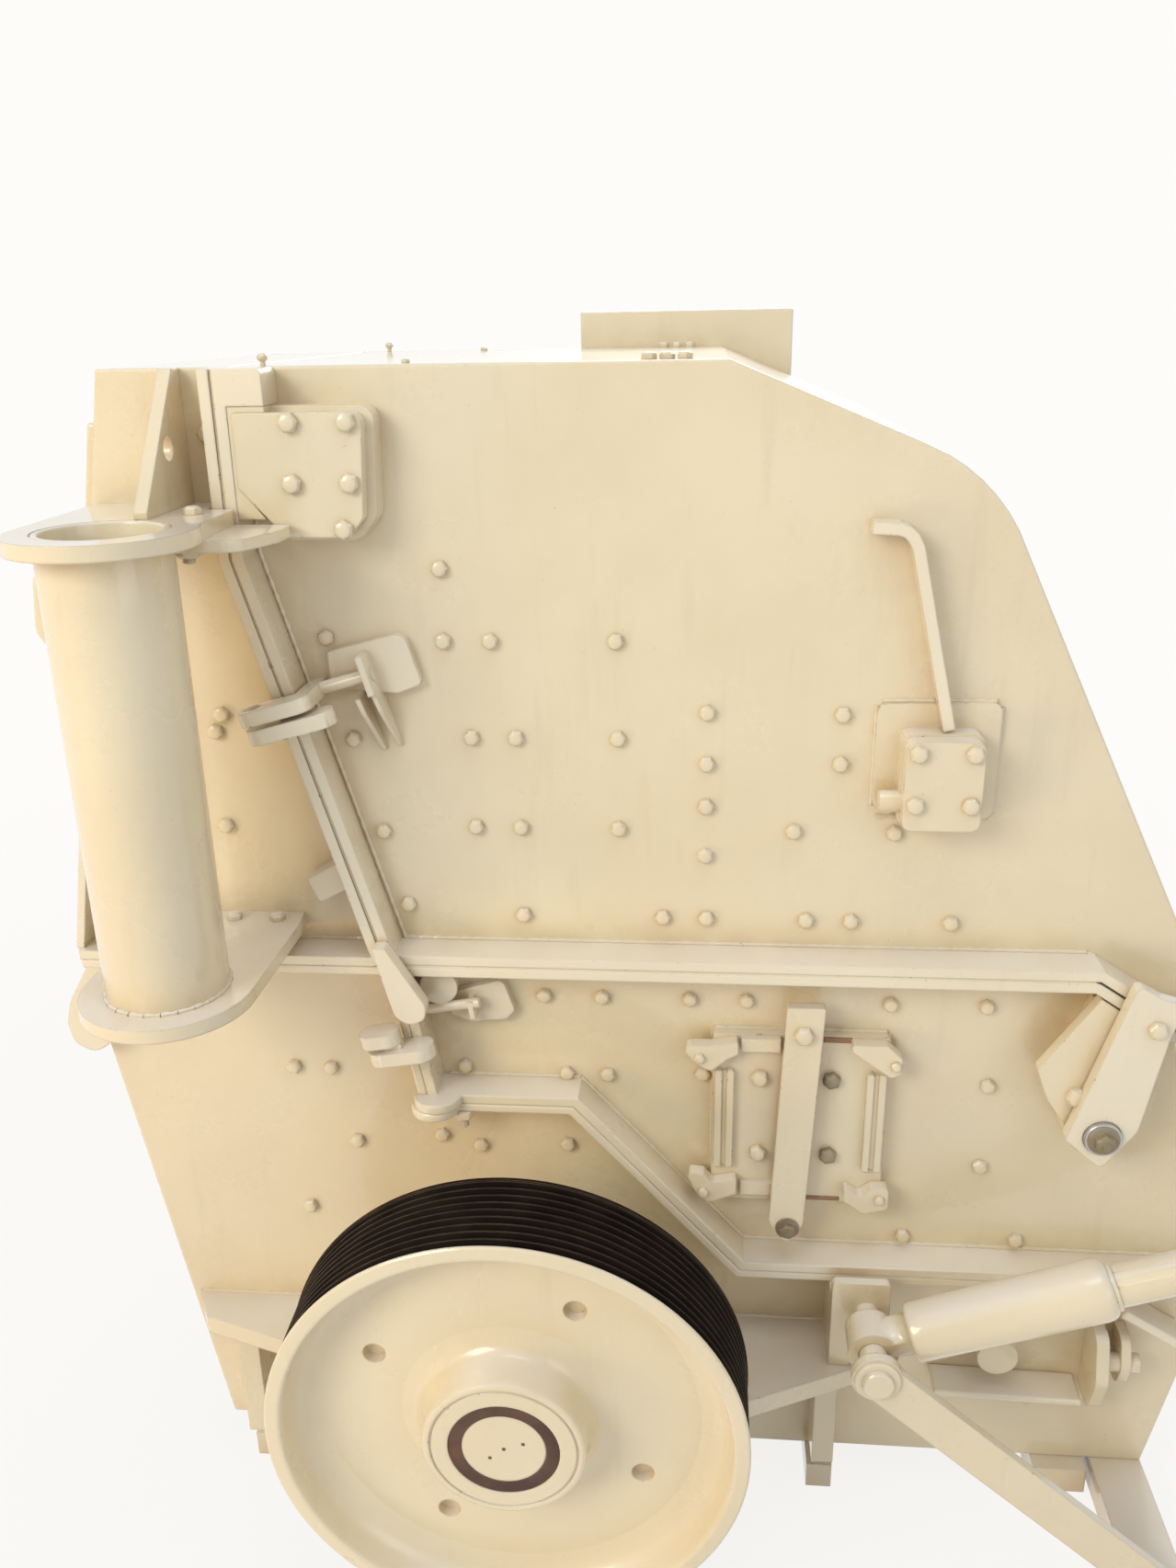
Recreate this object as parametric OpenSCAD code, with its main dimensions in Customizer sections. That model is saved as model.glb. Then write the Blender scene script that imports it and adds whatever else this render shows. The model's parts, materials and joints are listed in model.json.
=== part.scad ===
// Compound impact crusher: a welded housing split into a base, a feed housing,
// a middle band and a hinged rear housing, around one horizontal rotor.
// X runs along the machine from the feed end to the discharge end,
// Y runs across it (the drive pulley is on the -Y side), Z is up from the floor.

/* [Housing] */
// Width over the two housing side walls
body_w = 1240; // [1040:10:1500]
// Thickness of the housing plates
plate_t = 24; // [18:1:32]
// Height of the roof above the floor
roof_z = 3050; // [2800:10:3400]
// Height of the joint between the upper and the lower housings
split_z = 1646; // [1560:5:1740]
// Where the roof starts at the feed end
front_x = -895; // [-1100:5:-700]
// Where the rear wall of the rear housing ends
rear_x = 1600; // [1540:5:1700]

/* [Flanges] */
// How far the joint flanges stand out from the side walls
flange_out = 100; // [70:5:120]
// Thickness of one flange
flange_t = 25; // [16:1:32]
// Gap left between the hinged housing and what it closes on
seam_gap = 6; // [5:1:10]
// Half the distance between the foot bolt holes along the machine
foot_bolt_x = 799; // [600:1:860]
// Radius of the foot bolt holes
foot_bolt_r = 17; // [11:0.5:22]

/* [Rotor] */
// Height of the rotor axis above the floor
axis_z = 655; // [640:5:720]
// Radius to the tips of the blow bars
rotor_r = 520; // [440:5:540]
// Gap between the rotor and each side wall
rotor_gap = 35; // [15:5:60]
// Shaft radius
shaft_r = 100; // [80:5:110]
// Number of blow bars
bar_count = 4; // [3:1:4]

/* [Pulley] */
// Outside radius of the belt pulley
pulley_r = 575; // [480:5:600]
// Width of the pulley rim
pulley_w = 242; // [180:2:290]
// Number of belt grooves
groove_count = 9; // [6:1:10]
// Pitch from groove to groove
groove_pitch = 25; // [20:0.5:28]
// Distance from the side wall to the outer face of the pulley rim
pulley_reach = 595; // [560:5:680]

/* [Inspection doors] */
// Door width along the machine
door_w = 440; // [340:10:480]
// Door height
door_h = 500; // [380:10:540]
// Height of the middle of the door
door_z = 1195; // [1170:5:1230]

/* [Jib socket] */
// Outside radius of the jib-crane socket tube
tube_r = 134; // [110:2:150]
// Wall of the socket tube
tube_wall = 16; // [10:1:24]
// Distance from the side wall to the tube axis
tube_reach = 390; // [330:5:430]

/* [Opening gear] */
// Barrel radius of the hydraulic cylinders
barrel_r = 71; // [62:1:84]
// Rod radius of the hydraulic cylinders
rod_r = 50; // [40:1:60]
// Radius of the hinge pins
hinge_r = 45; // [32:1:50]
// Radial clearance round pins and shafts
pin_gap = 1; // [0.5:0.5:2]

/* [Hidden] */
$fn = 64;
hw = body_w / 2;
inner = hw - plate_t;
lift_gap = 8;
edge_y = hw + flange_out;
arm_y = edge_y + lift_gap;
arm_t = 35;

// colours
cream = [0.93, 0.87, 0.72];
dark = [0.16, 0.12, 0.10];
rust = [0.36, 0.20, 0.14];
steel = [0.62, 0.62, 0.63];
iron = [0.33, 0.32, 0.31];

// outline of the housing, all as [x, z]
base_z = 80;
front_split_x = front_x - 255;
seam_x = front_x + 295;
low_z = split_z - 388;
seam_foot_x = seam_x + 275;
seam_top = [seam_x, roof_z];
seam_knee = [seam_x, split_z + (roof_z - split_z) * 0.715];
seam_foot = [seam_foot_x, split_z];
seam_lean = atan((seam_foot_x - seam_x) / (seam_knee[1] - split_z));
band_lean = atan(65 / (split_z - low_z));
split_end = [rear_x - 220, split_z];
hinge_end = [rear_x, split_z - 143];
roof_end = [rear_x - 1110, roof_z];
ledge_z = axis_z + 115;
band_in = [seam_foot_x + 20, split_z];
band_foot = [seam_foot_x + 85, low_z];
band_turn = [130, low_z];
ledge_in = [560, ledge_z];
ledge_out = [rear_x + 155, ledge_z];
base_front_top = [front_split_x - 18, split_z];
base_front_foot = [front_split_x + 224, base_z];
base_rear_top = [rear_x + 230, ledge_z];
base_rear_foot = [rear_x + 100, base_z];
front_lean = [front_x - front_split_x, roof_z - split_z];
end_lift = 6;

door_x = 700;

// the hinge of the rear housing and the cylinder that opens it
hinge_x = rear_x - 182;
hinge_z = split_z - 394;
anchor_x = 885;
anchor_z = axis_z + 50;
cylinder_tilt = 19.8;
cylinder_len = 1057;
cylinder_y = -(hw + 260);
lug_x = anchor_x + cylinder_len * cos(cylinder_tilt);
lug_z = anchor_z + cylinder_len * sin(cylinder_tilt);
barrel_end = 596;
cylinder_pin_r = 35;
lug_pin_r = 30;
open_gap = 22;

// ---------- helpers ----------

function unit(v) = v / norm(v);
function right_of(a, b) = [unit(b - a)[1], -unit(b - a)[0]];
function mitre(p, i) =
    i == 0 ? right_of(p[0], p[1])
    : i == len(p) - 1 ? right_of(p[i - 1], p[i])
    : let (a = right_of(p[i - 1], p[i]), b = right_of(p[i], p[i + 1])) (a + b) / (1 + a * b);
function beside(p, d) = [for (i = [0:len(p) - 1]) p[i] + d * mitre(p, i)];
function back_to_front(p) = [for (i = [len(p) - 1:-1:0]) p[i]];
function moved(p, v) = [for (q = p) q + v];
function arc(c, r, a0, a1, n) =
    [for (i = [0:n]) c + r * [cos(a0 + (a1 - a0) * i / n), sin(a0 + (a1 - a0) * i / n)]];

// a closed outline with each corner rounded: r is one radius or a list of them
function soft(p, r, n = 4) = [
    for (i = [0:len(p) - 1])
        let (
            rr = is_list(r) ? r[i] : r,
            a = unit(p[(i + len(p) - 1) % len(p)] - p[i]),
            b = unit(p[(i + 1) % len(p)] - p[i]),
            half = acos(a * b) / 2,
            c = p[i] + unit(a + b) * rr / sin(half),
            s = p[i] + a * rr / tan(half) - c,
            e = p[i] + b * rr / tan(half) - c,
            turn = atan2(s[0] * e[1] - s[1] * e[0], s * e)
        )
        for (q = rr == 0 ? [p[i]] : arc(c, rr, atan2(s[1], s[0]), atan2(s[1], s[0]) + turn, n))
            q
];

// an [x, z] outline standing between two y values
module upright(y0, y1) {
    translate([0, y1, 0])
        rotate([90, 0, 0])
            linear_extrude(y1 - y0)
                children();
}

// a strip of even thickness along a path, to its right for d > 0
module strip(p, d) {
    polygon(concat(p, back_to_front(beside(p, d))));
}

// a cylinder along Y between two y values
module bar_y(x, z, r, y0, y1) {
    translate([x, y0, z])
        rotate([-90, 0, 0])
            cylinder(h = y1 - y0, r = r);
}

// a frame on the leaning joint of the rear housing at height z: x across it, z up along it
module at_seam(z) {
    translate([seam_x + (seam_knee[1] - z) * tan(seam_lean), 0, z])
        rotate([0, -seam_lean, 0])
            children();
}

// the same on the joint between the base and the middle band
module at_band(z) {
    translate([band_in[0] + (split_z - z) * tan(band_lean), 0, z])
        rotate([0, -band_lean, 0])
            children();
}

// a flat bar with round ends, u0 to u1 along x and from y0 to y1
module round_bar(u0, u1, y0, y1, z0, z1) {
    r = (y1 - y0) / 2;
    translate([0, 0, z0])
        linear_extrude(z1 - z0) {
            translate([u0 + r, y0])
                square([u1 - u0 - 2 * r, y1 - y0]);
            for (u = [u0 + r, u1 - r])
                translate([u, y0 + r])
                    circle(r = r);
        }
}

module both_sides() {
    children();
    mirror([0, 1, 0])
        children();
}

// ---------- paths ----------

back_arc_c = [roof_end[0] + 252, roof_z - 577];
back_arc_r = 434;
rear_outline = concat(
    [seam_top + [seam_gap / 2, 0], roof_end],
    arc(back_arc_c, back_arc_r, 66.7, 30, 6),
    [[rear_x - 10, split_z + 84], beside([split_end, hinge_end], -seam_gap)[1]]
);
seam_path = [seam_top, seam_knee, seam_foot];
split_path = [band_in, split_end, hinge_end];
low_path = [band_in, band_foot, band_turn, ledge_in, ledge_out];
rear_seam = [for (p = [seam_top, seam_knee, seam_foot + [0, seam_gap]]) p + [seam_gap / 2, 0]];
rear_split = beside([rear_seam[2] - [0, seam_gap], split_end, hinge_end], -seam_gap);

// ---------- base ----------

module base_wall_outline() {
    polygon(concat([base_front_top], low_path, [base_rear_top, base_rear_foot, base_front_foot]));
}

module base_side_walls() {
    color(cream)
        both_sides()
            difference() {
                upright(-hw, -inner)
                    base_wall_outline();
                bar_y(0, axis_z, shaft_r + 25, -hw - 1, -inner + 1);
            }
}

module base_end_walls() {
    color(cream) {
        upright(-inner, inner)
            strip([base_front_foot, base_front_top + [1, -6]], plate_t);
        upright(-inner, inner)
            strip([base_rear_top, base_rear_foot], plate_t);
    }
}

module base_feet() {
    foot = 150;
    foot_w = 70;
    color(cream)
        both_sides() {
            for (x = [-foot_bolt_x, foot_bolt_x])
                translate([x, -hw, 0])
                    difference() {
                        translate([-foot_w / 2, -foot / 2, 0])
                            cube([foot_w, foot, base_z]);
                        translate([0, -35, -1])
                            cylinder(h = base_z + 2, r = foot_bolt_r);
                    }
            translate([base_rear_foot[0] - 304, -hw - 45, 0])
                cube([146, foot - 30, base_z]);
            translate([base_rear_foot[0] - 140, cylinder_y - 135, 0])
                cube([140, foot / 2 - hw - cylinder_y + 135, base_z]);
        }
}

module base_flanges() {
    color(cream)
        both_sides() {
            upright(-edge_y, -hw) {
                strip([base_front_top + [62, 0], band_in], flange_t);
                strip([band_in, band_foot, band_turn, ledge_in, ledge_out + [75, 0]], flange_t);
                strip([ledge_out + [-195, -80], ledge_out + [-25, -185]], flange_t);
                strip([ledge_in + [530, -375], ledge_in + [920, -385]], 20);
            }
            band_lobe(-flange_t, -8);
        }
}

// the round lobe where the flange turns at the foot of the band
module band_lobe(z0, x_shift) {
    translate([0, 0, low_z + z0])
        linear_extrude(flange_t)
            difference() {
                union() {
                    translate([band_foot[0] + 22 + x_shift, -edge_y + 8])
                        circle(r = 62);
                    translate([band_foot[0] - 40 + x_shift, -edge_y + 8])
                        square([124, 60]);
                }
                translate([band_foot[0] - 100, -edge_y])
                    square([400, 100]);
            }
}

// ---------- feed housing ----------

module feed_side_walls() {
    color(cream)
        both_sides()
            upright(-hw, -inner)
                polygon(concat([[front_x, roof_z]], moved(seam_path, [-seam_gap / 2, 0]), [[front_split_x, split_z]]));
}

module feed_front_wall() {
    color(cream)
        difference() {
            upright(-inner, inner)
                strip([[front_split_x, split_z] + end_lift * unit(front_lean), [front_x, roof_z]], plate_t);
            translate([front_split_x - 100, -inner + 110, split_z + 420])
                cube([500, body_w - 2 * plate_t - 220, 780]);
        }
}

module feed_roof() {
    color(cream)
        translate([front_x + plate_t, -inner, roof_z - plate_t])
            cube([seam_x - seam_gap / 2 - front_x - plate_t, 2 * inner, plate_t]);
}

module feed_frame() {
    lean = (front_x - front_split_x) / (roof_z - split_z);
    z0 = split_z + 340;
    z1 = split_z + 1280;
    x1 = front_split_x + lean * (z1 - split_z);
    color(cream)
        difference() {
            union() {
                upright(-inner + 30, inner - 30)
                    strip([
                        [front_split_x + lean * (z0 - split_z) - 0.05, z0],
                        [x1 - 0.05, z1]
                    ], -40);
                // lug on each side of the frame
                both_sides()
                    upright(-inner + 30, -inner + 66)
                        polygon(soft([
                            [x1 - 90, z1 - 322], [x1 - 208, z1 - 318], [x1 - 232, z1 - 350], [x1 - 246, z1 - 476],
                            [x1 - 226, z1 - 512], [x1 - 124, z1 - 512]
                        ], [0, 24, 40, 40, 24, 0]));
            }
            translate([front_split_x - 100, -inner + 110, split_z + 420])
                cube([500, body_w - 2 * plate_t - 220, 780]);
        }
}

module feed_flanges() {
    color(cream)
        both_sides() {
            upright(-edge_y, -hw) {
                strip(moved([seam_top, seam_knee, seam_foot + 8 * unit(seam_knee - seam_foot)], [-seam_gap / 2, 0]), flange_t);
                strip([[front_split_x + 44, split_z], [seam_foot_x - 30, split_z]], -flange_t);
            }
            // stiffening strip up the front edge, small stop and hanging lug
            upright(-hw - 85, -hw)
                strip([
                    [front_split_x + 27, split_z] + (flange_t + 1) * unit(front_lean),
                    [front_split_x + 27, split_z] + 370 * unit(front_lean)
                ], 20);
            upright(-hw - 62, -hw)
                polygon(soft([
                    [seam_x + 86, split_z + 214], [seam_x + 112, split_z + 152],
                    [seam_x + 190, split_z + 194], [seam_x + 177, split_z + 266]
                ], 8));
            upright(-hw - 56, -hw)
                polygon(soft([
                    [front_split_x + 44, split_z - flange_t], [front_split_x + 12, split_z - 80],
                    [front_split_x - 28, split_z - 148], [front_split_x - 46, split_z - 216],
                    [front_split_x - 34, split_z - 272], [front_split_x + 18, split_z - 298],
                    [front_split_x + 62, split_z - 270], [front_split_x + 80, split_z - 218],
                    [front_split_x + 116, split_z - flange_t]
                ], [0, 60, 70, 50, 40, 40, 40, 50, 0]));
        }
}

// ---------- middle band ----------

module middle_side_walls() {
    top = moved(split_path, [0, 0]);
    color(cream)
        both_sides()
            difference() {
                upright(-hw, -inner)
                    polygon(concat(top, back_to_front([for (i = [1:4]) low_path[i]])));
                translate([door_x - door_w / 2 + 30, -hw - 1, door_z - door_h / 2 + 30])
                    cube([door_w - 60, plate_t + 2, door_h - 60]);
            }
}

module middle_rear_wall() {
    color(cream)
        upright(-inner, inner)
            strip([hinge_end, ledge_out], plate_t);
}

module middle_flanges() {
    color(cream)
        both_sides() {
            upright(-edge_y, -hw) {
                strip([band_in + [6, 0], split_end, hinge_end], flange_t);
                strip([band_in + 14 * unit(band_foot - band_in), band_foot, band_turn, ledge_in, ledge_out], -flange_t);
            }
            band_lobe(0, 0);
        }
}

module inspection_doors() {
    x0 = door_x - door_w / 2;
    x1 = door_x + door_w / 2;
    z0 = door_z - door_h / 2;
    z1 = door_z + door_h / 2;
    color(cream)
        both_sides() {
            upright(-hw - 30, -hw)
                polygon(soft([[x0, z0], [x1, z0], [x1, z1], [x0, z1]], 12));
            // twin ribs down each side, and the bars at the top and the foot
            for (x = [x0 + 6, x0 + 36, x1 - 54, x1 - 24])
                upright(-hw - 46, -hw - 30)
                    polygon(soft([[x, z0 + 108], [x + 18, z0 + 108], [x + 18, z1 - 100], [x, z1 - 100]], 6));
            upright(-hw - 50, -hw - 30)
                polygon([[x0 + 70, z1 - 42], [door_x - 52, z1 - 42], [door_x - 52, z1 - 4], [x0 + 70, z1 - 4]]);
            upright(-hw - 44, -hw - 30)
                polygon([[x0 + 76, z0 + 22], [door_x - 62, z0 + 22], [door_x - 62, z0 + 60], [x0 + 76, z0 + 60]]);
        }
}

module door_fixings() {
    z0 = door_z - door_h / 2;
    z1 = door_z + door_h / 2;
    x0 = door_x - door_w / 2;
    x1 = door_x + door_w / 2;
    color(cream)
        both_sides() {
            // the bar that presses the door shut
            upright(-hw - 82, -hw - 52)
                polygon(soft([
                    [door_x - 42, z1 + 105], [door_x + 51, z1 + 105], [door_x + 20, z0 - 35],
                    [door_x - 20, z0 - 104], [door_x - 68, z0 - 30]
                ], [6, 6, 34, 16, 34]));
            for (z = [z1 + 52, z0 - 50])
                bar_y(door_x - (z > door_z ? 0 : 22), z, 22, -hw - 52, -hw);
            // bent dogs at the four corners
            upright(-hw - 66, -hw - 30)
                polygon(soft([
                    [x0 - 4, z1 - 18], [x0 + 62, z1 - 4], [x0 + 62, z1 - 40], [x0 + 34, z1 - 56],
                    [x0 - 6, z1 - 92], [x0 - 42, z1 - 70], [x0 - 84, z1 - 18]
                ], [30, 6, 6, 14, 16, 16, 14]));
            upright(-hw - 66, -hw - 30)
                polygon(soft([
                    [x1 - 98, z1 - 4], [x1 - 12, z1 - 4], [x1 + 27, z1 - 42], [x1 + 25, z1 - 84],
                    [x1 + 2, z1 - 96], [x1 - 38, z1 - 68], [x1 - 98, z1 - 24]
                ], [6, 16, 14, 12, 12, 16, 6]));
            upright(-hw - 66, -hw - 30)
                polygon(soft([
                    [x0 - 66, z0 + 104], [x0 - 18, z0 + 98], [x0 + 4, z0 + 72], [x0 + 66, z0 + 86],
                    [x0 + 66, z0 + 40], [x0 - 6, z0 + 10], [x0 - 38, z0 + 40]
                ], [12, 12, 14, 6, 6, 20, 14]));
            upright(-hw - 66, -hw - 30)
                polygon(soft([
                    [x1 - 98, z0 + 72], [x1 - 58, z0 + 46], [x1 - 28, z0 + 72], [x1 + 16, z0 + 72],
                    [x1 + 16, z0 + 8], [x1 - 46, z0 - 8], [x1 - 98, z0 + 30]
                ], [6, 12, 12, 12, 14, 16, 6]));
            for (q = [[x0 - 34, 14], [x1 + 8.5, 7.5]], z = [z0 + 42, z1 - 52])
                bar_y(q[0], z, q[1], -hw - 30, -hw);
        }
}

// ---------- shelves and bearings ----------

module bearing_shelves() {
    shelf_z = axis_z - 125;
    shelf_t = 55;
    color(cream)
        both_sides() {
            difference() {
                translate([0, 0, shelf_z - shelf_t])
                    linear_extrude(shelf_t)
                        polygon([
                            [-975, -hw], [-918, -hw - 102], [-687, -hw - 172], [-250, -hw - 310],
                            [560, -hw - 310], [868, -hw - 170], [885, -hw]
                        ]);
                bar_y(0, axis_z, 200, -hw - 330, -hw + 1);
            }
            // ribs under the shelf, cut back to a slope at their feet
            for (x = [-828, -433, 407, 770])
                let (d = abs(x) < 500 ? 230 : 125, rib = abs(x) < 500 ? 26 : 58)
                    translate([x, 0, 0])
                        rotate([0, 0, 90])
                            upright(-rib, 0)
                                polygon([
                                    [-hw, base_z + 20], [-hw - d + 60, base_z + 66], [-hw - d, base_z + 66],
                                    [-hw - d, shelf_z - shelf_t], [-hw, shelf_z - shelf_t]
                                ]);
        }
}

module bearing_housings() {
    color(cream)
        both_sides()
            difference() {
                union() {
                    bar_y(0, axis_z, 190, -hw - 262, -hw - 66);
                    for (y = [-hw - 290, -hw - 66])
                        bar_y(0, axis_z, 158, y, y + 28);
                    upright(-hw - 262, -hw - 66)
                        polygon([
                            [-335, axis_z - 125], [335, axis_z - 125], [335, axis_z - 55],
                            [215, axis_z - 40], [150, axis_z + 30], [-150, axis_z + 30],
                            [-215, axis_z - 40], [-335, axis_z - 55]
                        ]);
                }
                bar_y(0, axis_z, shaft_r + pin_gap, -hw - 291, -hw - 37);
            }
}

// ---------- rotor ----------

module pulley() {
    out_y = hw + pulley_reach;
    web = 99;
    web_t = 32;
    lip = pulley_r - 40;
    hub = 195;
    seat = pulley_r - 22;
    color(cream)
        translate([0, -out_y, axis_z])
            rotate([-90, 0, 0])
                difference() {
                    rotate_extrude($fn = 96)
                        polygon([
                            // front: ring recess, turned line, hub, dish and lip
                            [shaft_r, 32], [shaft_r + 33, 32], [shaft_r + 33, -8], [hub - 23, -8], [hub - 22, -4],
                            [hub - 18, -4], [hub - 17, -8], [hub - 8, -8], [hub - 2, -5], [hub, 1],
                            [hub + 1, 30], [hub + 5, 54], [hub + 13, 74], [hub + 27, 88], [hub + 46, 96], [hub + 70, web],
                            [lip - 74, web], [lip - 50, web - 4], [lip - 30, web - 13], [lip - 15, web - 27],
                            [lip - 5, web - 46], [lip, web - 70], [lip, 9], [lip + 3, 2], [lip + 9, 0],
                            [pulley_r - 4, 0], [pulley_r, 3], [pulley_r, 8], [seat, 8],
                            // back
                            [seat, pulley_w - 8], [pulley_r, pulley_w - 8], [pulley_r, pulley_w], [lip, pulley_w],
                            [lip, web + web_t + 40], [lip - 12, web + web_t + 12], [lip - 40, web + web_t],
                            [hub + 40, web + web_t], [hub + 12, web + web_t + 12], [hub, web + web_t + 40],
                            [hub, pulley_w - 6], [hub - 6, pulley_w], [shaft_r, pulley_w]
                        ]);
                    for (a = [0:90:359])
                        rotate([0, 0, a + 27.2])
                            translate([pulley_r * 0.628, 0, web - 1])
                                cylinder(h = web_t - 7, r = 28);
                }
}

module groove_band() {
    out_y = hw + pulley_reach;
    half = groove_count * groove_pitch / 2;
    mid = pulley_w / 2;
    outer = pulley_r - 2;
    color(dark)
        translate([0, -out_y, axis_z])
            rotate([-90, 0, 0])
                rotate_extrude($fn = 96)
                    polygon(concat(
                        [[pulley_r - 22, mid - half], [outer, mid - half]],
                        [for (i = [0:groove_count - 1], k = [0:3])
                            [k == 0 || k == 3 ? outer : outer - 17,
                             mid - half + groove_pitch * i + [2, 8, groove_pitch - 8, groove_pitch - 2][k]]],
                        [[outer, mid + half], [pulley_r - 22, mid + half]]
                    ));
}

module rotor_shaft() {
    color(steel)
        bar_y(0, axis_z, shaft_r, -hw - pulley_reach - 4, hw + 330);
}

module lock_ring() {
    color(rust)
        translate([0, -hw - pulley_reach - 6, axis_z])
            rotate([-90, 0, 0])
                difference() {
                    cylinder(h = 38, r = shaft_r + 33);
                    translate([0, 0, -1])
                        cylinder(h = 40, r = shaft_r);
                }
}

module rotor_body() {
    w = 2 * inner - 2 * rotor_gap;
    color(iron)
        difference() {
            union() {
                bar_y(0, axis_z, 240, -w / 2, w / 2);
                for (i = [0:4])
                    bar_y(0, axis_z, rotor_r - 60, -w / 2 + i * (w - 80) / 4, -w / 2 + i * (w - 80) / 4 + 80);
            }
            bar_y(0, axis_z, shaft_r, -w, w);
            for (i = [0:bar_count - 1])
                translate([0, 0, axis_z])
                    rotate([0, i * 360 / bar_count + 20, 0])
                        translate([rotor_r - 230, -w, -50])
                            cube([250, 2 * w, 100]);
        }
}

module blow_bars() {
    w = 2 * inner - 2 * rotor_gap;
    color(steel)
        for (i = [0:bar_count - 1])
            translate([0, 0, axis_z])
                rotate([0, i * 360 / bar_count + 20, 0])
                    translate([rotor_r - 230, -w / 2, -50])
                        cube([sqrt(rotor_r * rotor_r - 2500) - rotor_r + 230, w, 100]);
}

// ---------- jib socket ----------

tube_x = seam_x - 145;
tube_y = -(hw + tube_reach);
tube_z0 = split_z + 64;
tube_z1 = split_z + 1114;

module jib_tube() {
    color(cream)
        translate([tube_x, tube_y, tube_z0])
            difference() {
                cylinder(h = tube_z1 - tube_z0, r = tube_r);
                translate([0, 0, -1])
                    cylinder(h = tube_z1 - tube_z0 + 2, r = tube_r - tube_wall);
            }
}

module jib_plates() {
    ring_r = tube_r + 55;
    clear_x = seam_x - seam_gap - 30;
    color(cream) {
        // top plate: a ring round the tube with a tongue back to the wall
        translate([0, 0, tube_z1 - 33])
            linear_extrude(33)
                difference() {
                    union() {
                        translate([tube_x, tube_y])
                            circle(r = ring_r);
                        polygon(soft([
                            [tube_x - ring_r, tube_y], [tube_x - ring_r, -hw], [clear_x, -hw], [clear_x, -arm_y],
                            [seam_x + 25, -arm_y], [seam_x + 25, -arm_y - 120], [tube_x + ring_r - 12, tube_y]
                        ], [0, 0, 0, 0, 14, 50, 0]));
                    }
                    translate([tube_x, tube_y])
                        circle(r = tube_r);
                }
        // second plate, bolted up under the tongue
        translate([0, 0, tube_z1 - 33 - 25])
            linear_extrude(25)
                difference() {
                    union() {
                        polygon(soft([
                            [seam_x - 110, -arm_y], [seam_x + 152, -arm_y], [seam_x + 148, -arm_y - 90],
                            [seam_x + 100, -arm_y - 212], [seam_x - 10, -arm_y - 214], [tube_x, tube_y]
                        ], [0, 24, 60, 50, 30, 0]));
                        translate([seam_x - 110, -arm_y - 20])
                            square([clear_x - seam_x + 110, arm_y + 20 - hw]);
                    }
                    translate([tube_x, tube_y])
                        circle(r = tube_r + 1);
                }
        // bottom plate
        translate([0, 0, tube_z0])
            linear_extrude(33)
                difference() {
                    union() {
                        translate([tube_x, tube_y])
                            circle(r = tube_r + 60);
                        polygon(soft([
                            [tube_x - tube_r - 60, tube_y], [tube_x + tube_r + 60, tube_y],
                            [seam_x + 58, -hw - 62], [seam_x + 50, -hw], [tube_x - tube_r - 60, -hw]
                        ], [0, 0, 30, 0, 0]));
                    }
                    translate([tube_x, tube_y])
                        circle(r = tube_r);
                }
    }
}

module lifting_gusset() {
    color(cream)
        translate([tube_x + 10, 0, 0])
            rotate([0, 0, 90])
                upright(-30, 0)
                    difference() {
                        polygon([
                            [-hw, tube_z1], [-hw, roof_z], [-hw - 40, roof_z],
                            [-hw - 258, tube_z1 + 14], [-hw - 258, tube_z1]
                        ]);
                        translate([-hw - 108, tube_z1 + 130])
                            circle(r = 27);
                    }
}

// ---------- clamps ----------

module fixed_clamps() {
    color(cream)
        both_sides() {
            // lower jaw of the seam clamp, on the feed housing
            at_seam(split_z + 654) {
                round_bar(-90, 120, -arm_y - 76, -arm_y, -42, -6);
                translate([-88, -arm_y - 38, -42])
                    cube([50, arm_y + 38 - hw, 36]);
            }
            // clamp across the joint of the base and the middle band
            at_band(split_z - 190) {
                round_bar(-118, -16, -edge_y - 68, -edge_y, 6, 42);
                round_bar(-104, 62, -edge_y - 74, -edge_y, -42, -6);
                translate([-60, -edge_y - 52, -6])
                    cube([44, 30, 12]);
                translate([flange_t, -hw - 50, 42])
                    rotate([0, 90, 0])
                        cylinder(h = 152, r = 14);
            }
            bar_y(seam_foot_x + 118, split_z - flange_t - 51, 48, -hw - 58, -hw);
            upright(-hw - 26, -hw)
                polygon(soft([
                    [seam_foot_x + 136, split_z - 111], [seam_foot_x + 275, split_z - 68],
                    [seam_foot_x + 304, split_z - 156], [seam_foot_x + 280, split_z - 182],
                    [seam_foot_x + 190, split_z - 192], [seam_foot_x + 140, split_z - 172]
                ], [8, 18, 12, 12, 12, 8]));
            translate([seam_foot_x + 196, -hw - 64, split_z - 165])
                rotate([0, -band_lean, 0])
                    cube([14, 64, 50]);
        }
}

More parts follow.
